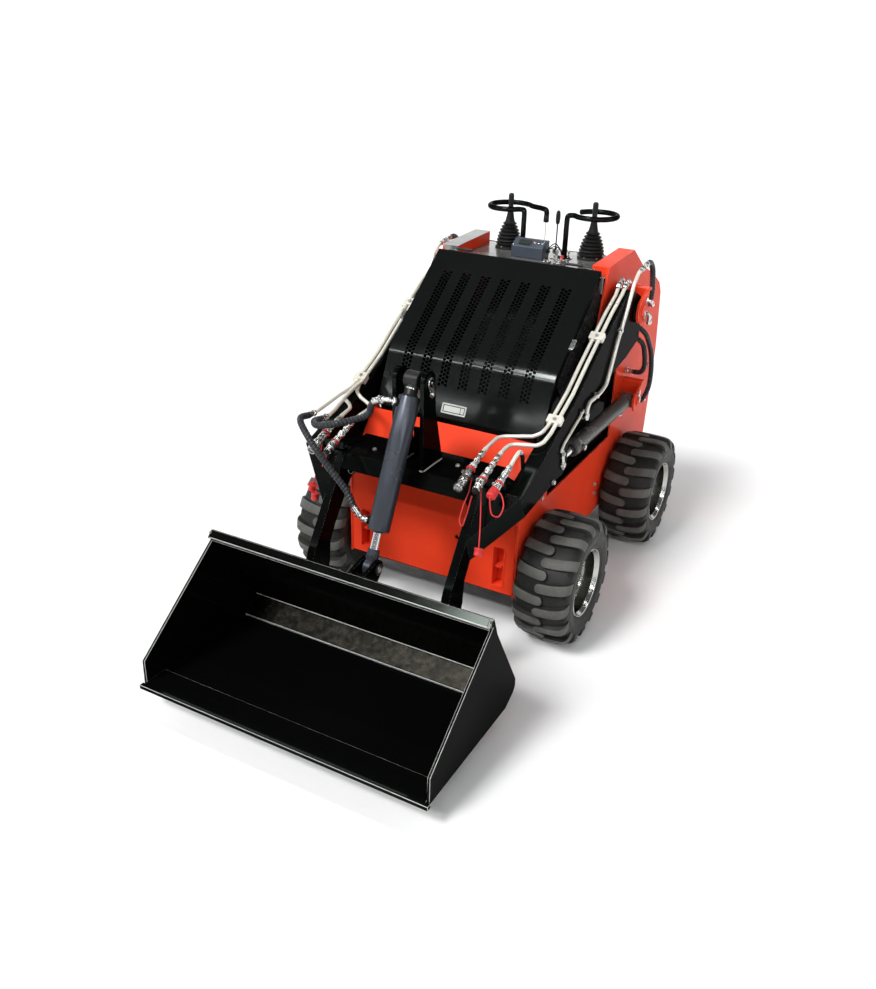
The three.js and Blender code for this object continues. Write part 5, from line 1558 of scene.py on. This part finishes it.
def qa_trim():
    HT, LP = Vector((-545, 133)), Vector((-756, 467))
    d = (LP - HT).normalized()
    n = Vector((d.y, -d.x))                     # points behind the bucket

    def back(t, off, x):
        q = HT + d * t + n * off
        return P(x, q.x, q.y)
    dv = Vector((0, d.x, d.y)); nv = Vector((0, n.x, n.y))
    b = B()
    for s in (1, -1):
        # locking lever, spring and wedge pin at each side of the plate
        o = back(250, 17, s * 380)

        def q(u, v, w, o=o, s=s):
            return o + Vector((u * s * .001, 0, 0)) + dv * (v * .001) + nv * (w * .001)
        b.add(slab(slot_shape(-52, 52, -34, 34, 6), q, 0.2, 6.0), BLACK)
        b.add(slab(slot_shape(-46, -34, -60, 92, 3), q, 6.0, 26.0), BLACK)
        b.add(slab(slot_shape(34, 46, -60, 40, 3), q, 6.0, 26.0), BLACK)
        b.add(cyl(q(-50, 0, 16), q(50, 0, 16), 8, 20, 1.2), STEEL)
        b.add(cyl(q(0, -118, 14), q(0, 6, 14), 8.4, 20, 1.2), STEEL)
        hel = [q(0 + 13 * math.cos(k * .55), -60 + k * .62, 14 + 13 * math.sin(k * .55)) for k in range(100)]
        b.add(ring_tube(hel, 1.9, 7), SATIN)
        b.add(slab([(-9, -8), (9, -8), (8, 60), (-8, 60)], q, 22, 28), STEEL)
        for u in (-40, 40):
            for v in (-24, 24):
                bolt(b, q(u, v, 6), nv, 11, BOLTM)
    # tabs on the frame's top edge
    for x0, x1, m in ((-536, -500, STEEL), (-391, -326, STEEL), (-54, -23, STEEL), (238, 300, PLATEM)):
        c0 = back(362, 22, 0)
        x0, x1 = max(x0, -462), x1
        if x1 - x0 < 10:
            x0, x1 = -462, -430
        b.add(slab([(x0, -10), (x1, -10), (x1, 10), (x0, 10)], lambda u, v, w: back(363, 18, u) + nv * ((v + 10) * .001) + dv * (w * .001), 21.2, 24.0), m)
    b.make("quick_attach_latches", "bucket_carrier", "rim_silver", bevel=0.0004, segs=1, bangle=40)
    b = B()
    # seams of the ears, dark red stiffener along the frame, hinge pin heads with keepers
    for x in (238, 290, -248, -300):
        for dx in (-0.6, 10.6):
            weld(b, [back(34, 18, x + dx), back(146, 18, x + dx)], 2.4)
    for x in (20, -32):
        for dx in (-0.6, 12.6):
            weld(b, [back(220, 18, x + dx), back(348, 18, x + dx)], 2.4)
    b.add(slab([(-466, 0), (466, 0), (466, 6), (-466, 6)], lambda u, v, w: back(338 + v, 17, u) + nv * (w * .001), 0.2, 5.0), BLACK)
    b.make("quick_attach_seams", "bucket_carrier", "black_paint", angle=45)
    b = B()
    for s in (1, -1):
        for x in (306, 230):
            dr = s if x == 306 else -s
            b.add(lathe([(0, 0), (17.6, 0), (17.6, 2.6), (16, 4), (0, 4)], P(s * x, -525, 215), (dr, 0, 0), 32), STEEL)
        k = P(s * 300.2, -525, 215)
        b.add(slab(slot_shape(-12, 12, -34, 26, 5), lambda u, v, w: k + Vector((s * w * .001, u * .001, v * .001)), 0.3, 5.4), STEEL)
        bolt(b, k + Vector((s * .0054, 0, -.024)), (s, 0, 0), 11, BOLTM)
        b.add(lathe([(0, 0), (3.6, 0), (3.6, 3), (2.4, 4), (2.6, 6.4), (1.4, 8), (0, 8.2)], P(s * 309.8, -525, 215), (s, 0, 0), 12), STEEL)
    b.make("hinge_pins", "bucket_carrier", "chrome_rod", angle=34)


qa_trim()


# ============================================================= arms and beam
def arm_trim():
    b = B()
    for s in (1, -1):
        def X(x):
            return s * x
        # seams: beam to legs, knee to arm, leg to knee
        for y0, z0, y1, z1 in ((-340, 701.2, -160, 701.2), (-329, 688.6, -160, 688.6)):
            weld(b, [P(X(254.2), y0, z0), P(X(254.2), y1, z1)], 3.0)
        weld(b, [P(X(254.4), -352, 650), P(X(254.4), -343.6, 700)], 3.0)
        # round boss and ring at the arm's pivot
        b.add(lathe([(24.5, 0), (46, 0), (46, 3.4), (44, 5), (26, 5), (24.5, 4)], P(X(425), 725, 1076), (s, 0, 0), 40, wrap=True), BLACK)
        b.add(lathe([(24.5, 0), (44, 0), (44, 5), (42, 6.5), (26, 6.5), (24.5, 5.5)], P(X(370), 725, 1076), (-s, 0, 0), 40, wrap=True), BLACK)
        ring = [P(X(425.6), 725 + 46.4 * math.cos(a), 1076 + 46.4 * math.sin(a)) for a in [2 * math.pi * k / 60 for k in range(61)]]
        weld(b, ring, 2.0)
    # triangular gussets at both beam ends (visible from the front)
    for s in (1, -1):
        g = [(s * 253, 690), (s * 180, 690), (s * 253, 580)]
        b.add(plateY(g, -336, -330), BLACK)
        if s < 0:
            # outline of a rounded slot on one gusset, a pale tube: painted highlight
            ax_, az_, bx_, bz_, rr = -207.0, 668.0, -238.0, 628.0, 9.0
            th = math.atan2(az_ - bz_, ax_ - bx_)
            pill = [P(ax_ + rr * math.cos(th - math.pi / 2 + math.pi * k / 10), -336.6, az_ + rr * math.sin(th - math.pi / 2 + math.pi * k / 10)) for k in range(11)] + \
                   [P(bx_ + rr * math.cos(th + math.pi / 2 + math.pi * k / 10), -336.6, bz_ + rr * math.sin(th + math.pi / 2 + math.pi * k / 10)) for k in range(11)]
            b.add(ring_tube(pill, 1.7, 8, closed=True), EDGE_HIGHLIGHT)
        weld(b, [P(s * 252.5, -337, 584), P(s * 252.5, -337, 688)], 2.2)
        bolt(b, P(s * 178, -270, 700.2), (0, 0, 1), 13, BOLTM)
    # tower: seams at its foot in the pale edge paint (painted glints), a gusset behind it and an inner edge strip
    for s in (1, -1):
        for x in (45.4, 60.6):
            weld(b, [P(s * x, -340, 701), P(s * x, -207, 701)], 3.0, EDGE_HIGHLIGHT)
        weld(b, [P(s * 46, -342.6, 701), P(s * 60, -342.6, 701)], 3.0, EDGE_HIGHLIGHT)
        b.add(lathe([(15.6, 0), (30, 0), (30, 1.6), (28.6, 2.6), (15.6, 2.6)], P(s * 60, -310, 1010), (s, 0, 0), 36, wrap=True), BLACK)
    b.add(plateX([(-222, 700), (-190, 700), (-170, 712), (-222, 860)], -5, 5), BLACK)
    weld(b, [P(5.6, -220, 701), P(5.6, -178, 701)], 2.4)
    weld(b, [P(-5.6, -220, 701), P(-5.6, -178, 701)], 2.4)
    b.add(cube(-45.8, 45.8, -212, -205, 760, 772), BLACK)
    for x in (-30, 30):
        bolt(b, P(x * 4.6, -236, 700.2), (0, 0, 1), 13, BOLTM)
    b.make("arm_seams", "loader_arms", "black_paint", angle=45)


arm_trim()


# ============================================================ chassis trim
def chassis_trim():
    b = B()
    # recessed lashing pockets in the front panel with a raised rim
    for s in (1, -1):
        x0, x1 = sorted((s * 262, s * 303))
        o = slot_shape(x0 - 5, x1 + 5, 223, 391, 7)
        i = slot_shape(x0, x1, 228, 386, 4)
        b.add(plateY(o, -168.4, -165, [i]), RED)
        b.add(plateY(slot_shape(x0 - 3, x1 + 3, 225, 389, 5), -160, -122, [slot_shape(x0, x1, 228, 386, 4)]), RED)
        b.add(plateY(slot_shape(x0 - 3, x1 + 3, 225, 389, 5), -122.4, -119), RED)
        b.add(plateY([(x0 + 8, 300), (x1 - 8, 300), (x1 - 8, 308), (x0 + 8, 308)], -160, -122), RED)
        # raised ring round each jacking hole
        if s > 0:
            b.add(plateY(circle(s * 111, 380, 12.5, 28), -167.2, -165, [circle(s * 111, 380, 9.2, 28)]), RED)
    # seams between panel and side plates
    for s in (1, -1):
        weld(b, [P(s * 345, -166.6, 202), P(s * 345, -166.6, 540), P(s * 345, -5, 744)], 2.2, RED)
        weld(b, [P(s * 353.4, 788, 1010), P(s * 353.4, 788, 1142)], 3.0, RED)
        weld(b, [P(s * 353.4, 790, 1141), P(s * 353.4, 820, 1141)], 3.0, RED)
        weld(b, [P(s * 353.4, 857.4, 620), P(s * 353.4, 857.4, 732)], 3.0, RED)
        weld(b, [P(s * 434.6, 795.4, 1012), P(s * 434.6, 795.4, 1140)], 2.4, RED)
        b.add(plateX([(800, 1010), (800, 1040), (830, 1010)], *sorted((s * 353, s * 359))), RED)
        # boss rings for the two pins on the plate
        for (y, z, r) in ((725, 1076, 40), (815, 667, 32)):
            b.add(lathe([(r * .62, 0), (r, 0), (r, 2.2), (r - 1.6, 3.4), (r * .62, 3.4)], P(s * 353, y, z), (s, 0, 0), 40, wrap=True), RED)
        # tie-down slot ears at the tail
        b.add(plateX(circle(1236, 330, 26, 28), *sorted((s * 353, s * 359)), holes=[circle(1236, 330, 13, 24)]), RED)
    # fine ribs pressed into the side panels along the hood's slope
    for s in (1, -1):
        for k in range(9):
            oy, oz = 0.62 * (12 * k + 8), -0.784 * (12 * k + 8)
            a0, a1 = (120 + oy, 935 + oz), (472 + oy, 1213 + oz)
            b.add(plateX([a0, a1, (a1[0] + 2.2, a1[1] - 2.8), (a0[0] + 2.2, a0[1] - 2.8)], *sorted((s * 333.2, s * 337.5))), SATIN)
    b.make("chassis_trim", "chassis", "red_paint", angle=40)
    b = B()
    for s in (1, -1):
        for (y, z) in ((25, 523), (640, 330), (654, 281), (1180, 930), (1240, 700), (1250, 520)):
            bolt(b, P(s * 353, y, z), (s, 0, 0), 14, BOLTM)
        # drive motor flange bolts round each axle
        for yc in (0, 904):
            for k in range(8):
                a = 2 * math.pi * (k + .5) / 8
                bolt(b, P(s * 372, yc + 54 * math.cos(a), 241.5 + 54 * math.sin(a)), (s, 0, 0), 13, BOLTM, washer=False)
                bolt(b, P(s * 353.2, yc + 82 * math.cos(a), 241.5 + 82 * math.sin(a)), (s, 0, 0), 15, BOLTM)
    # belly: access cover bolts and two drain plugs
    for x in (-250, -80, 80, 250):
        for y in (60, 420, 780, 1040):
            bolt(b, P(x, y, 192), (0, 0, -1), 12, BOLTM)
    for x, y in ((-150, 620), (150, 240)):
        b.add(lathe([(0, 0), (17, 0), (17, 4), (15, 6), (7, 6), (7, 3), (0, 3)], P(x, y, 192), (0, 0, -1), 6), STEEL)
    b.make("chassis_bolts", "chassis", "rim_silver", angle=34)
    # white hinge blocks at the deck's front corners
    b = B()
    for s in (1, -1):
        b.add(cube(*sorted((s * 262, s * 318)), 505, 531, 1235.2, 1239), STEEL)
        b.add(cube(*sorted((s * 272, s * 308)), 500, 516, 1239, 1262), STEEL)
        for x in (276, 304):
            bolt(b, P(s * x, 523, 1239), (0, 0, 1), 8, BOLTM)
    # pale control-valve blocks and pipe stubs under the levers' feet
    for x0, x1 in ((60, 92), (112, 142)):
        b.add(cube(x0, x1, 566, 604, 1235.2, 1250), STEEL)
        for dx in (9, 23):
            b.add(lathe([(0, 0), (5, 0), (5, 5), (3.4, 6), (0, 6)], P(x0 + dx, 585, 1250), (0, 0, 1), 6), BOLTM)
    b.make("deck_hinge_blocks", "chassis", "rim_silver", bevel=0.0006, segs=2, bangle=40)


chassis_trim()


def rear_trim():
    b = B()
    R = 1109.2
    lo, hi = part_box("rear_cover")
    ry = hi[1]                                     # outermost y of the cover (m)

    def r(x, out, z):
        return Vector((x * .001, ry + out * .001, z * .001))

    def rplate(outline, a, c, holes=()):
        return slab(outline, lambda u, v, w: r(u, w, v), a, c, holes)
    # framed door with pressed louvres
    b.add(rplate(slot_shape(-262, 262, 470, 1000, 14), 0.2, 3.0), BLACK)
    b.add(rplate(slot_shape(-262, 262, 470, 1000, 14), 2.8, 5.0, [slot_shape(-250, 250, 482, 988, 10)]), BLACK)
    for i in range(9):
        z = 560 + 38 * i
        for x in (-118, 118):
            b.add(slab([(0, 0), (11, -3), (12.4, 1), (3, 18), (0, 20)], lambda u, v, w, x=x, z=z: r(x + w, 3 + u, z + v), -96, 96), BLACK)
    # two latches, hinges along the left side
    for z in (560, 900):
        b.add(rplate(slot_shape(-244, -216, z - 30, z + 30, 6), 5, 8), SATIN)
        b.add(lathe([(0, 0), (11, 0), (11, 3), (8, 5), (0, 5)], r(-230, 8, z), (0, 1, 0), 24), STEEL)
        b.add(slab(slot_shape(-4, 4, -20, 8, 3), lambda u, v, w, z=z: r(-230 + u, w, z + v), 12.6, 17), STEEL)
        b.add(cyl(r(268, 6, z - 34), r(268, 6, z + 34), 6.5, 18, 1.0), SATIN)
        b.add(rplate(slot_shape(262, 300, z - 24, z + 24, 4), 0.2, 3.4), BLACK)
        for dz in (-14, 14):
            bolt(b, r(288, 3.4, z + dz), (0, 1, 0), 9, BOLTM)
    # lower bolted panel and blank plate
    b.add(rplate(slot_shape(-300, 300, 250, 440, 8), 0.2, 3.0), BLACK)
    for x in (-280, -95, 95, 280):
        for z in (266, 424):
            bolt(b, r(x, 3, z), (0, 1, 0), 12, BOLTM)
    b.add(rplate(slot_shape(-60, 60, 330, 372, 4), 3.0, 4.0), PLATEM)
    for x in (-53, 53):
        for z in (337, 365):
            b.add(lathe([(0, 0), (2, 0), (1.4, 1.2), (0, 1.4)], r(x, 4, z), (0, 1, 0), 10), STEEL)
    nrm = Vector((0, 0.42, 0.907))
    b.make("rear_door", "chassis", "black_paint", bevel=0.0005, segs=1, bangle=40)
    b = B()
    # thigh pad on the upright part, just below the deck's slope
    prof = slot_shape(-230, 230, 1010, 1056, 16, 8)
    b.add(rplate(prof, 0.3, 3), BLACKP)
    b.add(rplate([(p[0] * .985, 1033 + (p[1] - 1033) * .93) for p in prof], 2.6, 22), PADM)
    b.make("rear_pad", "chassis", "boot_rubber", bevel=0.007, segs=4, bangle=50)
    # fuel filler and breather on the sloped top
    b = B()
    a = Vector((0, 0.001 * (1080 - 884), 0.001 * (1092 - 1233))).normalized()
    n = Vector((0, -a.z, a.y))
    for x, rr in ((-190, 34), (160, 22)):
        o = P(x, 985, 1092 + (1080 - 985) * (141 / 196)) + n * .0035
        b.add(lathe([(0, 0), (rr, 0), (rr, 5), (rr - 3, 8), (rr - 3, 9), (rr + 1, 11), (rr + 1, 24), (rr - 2, 28), (0, 29)], o, n, 40), BLACKP)
        for k in range(18):
            t = 2 * math.pi * k / 18
            c0 = o + (Vector((1, 0, 0)) * math.cos(t) + a * math.sin(t)) * ((rr + 1) * .001)
            b.add(cyl(c0 + n * .012, c0 + n * .023, 2.0, 6), BLACKP)
    b.make("fuel_cap", "chassis", "boot_rubber", angle=40)


rear_trim()


def step_trim():
    b = B()
    # rows of raised anti-slip buttons
    for i in range(15):
        for j in range(6):
            x = -294 + 42 * i
            y = 1196 + 42 * j + (21 if i % 2 else 0)
            if y > 1424:
                continue
            o = P(x, y, 226)
            b.add(lathe([(0, 0.1), (12.5, 0.1), (9.4, 3.0), (7.2, 3.4), (6.2, 1.2), (0, 1.2)], o, (0, 0, 1), 14), BLACK)
    b.make("step_tread", "platform", "black_paint", angle=40)
    b = B()
    for s in (1, -1):
        for y in (1176, 1200):
            bolt(b, P(s * 306, y, 226), (0, 0, 1), 12, BOLTM) if y == 1176 else None
        b.add(lathe([(0, 0), (9, 0), (9, 4), (7.6, 5), (0, 5)], P(s * 336.2, 1150, 222), (s, 0, 0), 6), BOLTM)
    b.make("step_bolts", "platform", "rim_silver", angle=34)


step_trim()
# ================================================================== studio
def stage():
    fl = bpy.data.meshes.new("floor")
    b = B()
    rows = [(-14, 0), (6.0, 0), (9.0, 0.12), (12, 0.75), (15, 2.2), (18, 5.2), (20, 10)]
    verts, faces = [], []
    for y, z in rows:
        verts += [Vector((-22, y, z)), Vector((22, y, z))]
    for i in range(len(rows) - 1):
        faces.append([2 * i, 2 * i + 1, 2 * i + 3, 2 * i + 2])
    fl.from_pydata([tuple(v) for v in verts], [], faces)
    ob = bpy.data.objects.new("floor", fl)
    COLL.objects.link(ob)
    # turn it so the curved end lies behind the object as the camera sees it
    ob.rotation_euler = (0, 0, math.radians(27.8))
    for p in fl.polygons:
        p.use_smooth = True
    m = Mat("floor_paint")
    m.set("Base Color", m.mix(m.noise(1.4, 3, 0.5), (0.90, 0.90, 0.90), (0.92, 0.92, 0.92)))
    m.b.inputs["Roughness"].default_value = 0.6
    fl.materials.append(m.m)
    w = bpy.data.worlds.new("studio")
    bpy.context.scene.world = w
    w.use_nodes = True
    t = w.node_tree
    bg = t.nodes["Background"]
    tc = t.nodes.new("ShaderNodeTexCoord")
    sx = t.nodes.new("ShaderNodeSeparateXYZ")
    t.links.new(tc.outputs["Generated"], sx.inputs[0])

    def mth(op, a, b=0.0):
        n = t.nodes.new("ShaderNodeMath")
        n.operation = op
        for s_, v in ((n.inputs[0], a), (n.inputs[1], b)):
            if hasattr(v, "links"):
                t.links.new(v, s_)
            else:
                s_.default_value = v
        return n.outputs[0]

    z = mth("MAXIMUM", sx.outputs["Z"], 0.02)
    px, py = mth("DIVIDE", sx.outputs["X"], z), mth("DIVIDE", sx.outputs["Y"], z)

    def strip(x0, x1, y0, y1):
        a = mth("MULTIPLY", mth("GREATER_THAN", px, x0), mth("LESS_THAN", px, x1))
        c = mth("MULTIPLY", mth("GREATER_THAN", py, y0), mth("LESS_THAN", py, y1))
        return mth("MULTIPLY", a, c)

    lights = None
    for k, (x0, x1, y0, y1, e) in enumerate(((-2.6, 2.6, -1.13, -1.06, 26.0), (-2.6, 2.6, 0.35, 0.39, 12.0), (-3.2, 3.2, -2.4, -2.28, 12.0), (-1.8, -1.72, -1.5, 2.0, 8.0), (1.8, 1.86, -1.6, 2.2, 6.0))):
        v = mth("MULTIPLY", strip(x0, x1, y0, y1), e)
        lights = v if lights is None else mth("MAXIMUM", lights, v)
    grad = t.nodes.new("ShaderNodeValToRGB")
    e = grad.color_ramp.elements
    e[0].position, e[0].color = 0.0, (0.80, 0.80, 0.80, 1)
    e[1].position, e[1].color = 1.0, (0.07, 0.072, 0.075, 1)
    m1 = e.new(0.12); m1.color = (0.42, 0.42, 0.43, 1)
    m2 = e.new(0.4); m2.color = (0.11, 0.112, 0.115, 1)
    t.links.new(sx.outputs["Z"], grad.inputs["Fac"])
    addn = t.nodes.new("ShaderNodeMix")
    addn.data_type, addn.blend_type = "RGBA", "ADD"
    addn.inputs["Factor"].default_value = 1.0
    t.links.new(grad.outputs["Color"], addn.inputs[6])
    comb = t.nodes.new("ShaderNodeCombineColor")
    for i in range(3):
        t.links.new(lights, comb.inputs[i])
    t.links.new(comb.outputs[0], addn.inputs[7])
    t.links.new(addn.outputs[2], bg.inputs["Color"])
    bg.inputs["Strength"].default_value = 1.0
    sun = bpy.data.lights.new("key", "SUN")
    sun.energy, sun.angle = 2.6, math.radians(16)
    so = bpy.data.objects.new("key", sun)
    COLL.objects.link(so)
    d = Vector((0.30, 0.75, -1.0)).normalized()          # light travels back and down
    so.rotation_euler = d.to_track_quat("-Z", "Y").to_euler()
    v = bpy.context.scene.view_settings
    v.view_transform = "Standard"
    v.look = "None"
    v.exposure = 0.0


stage()
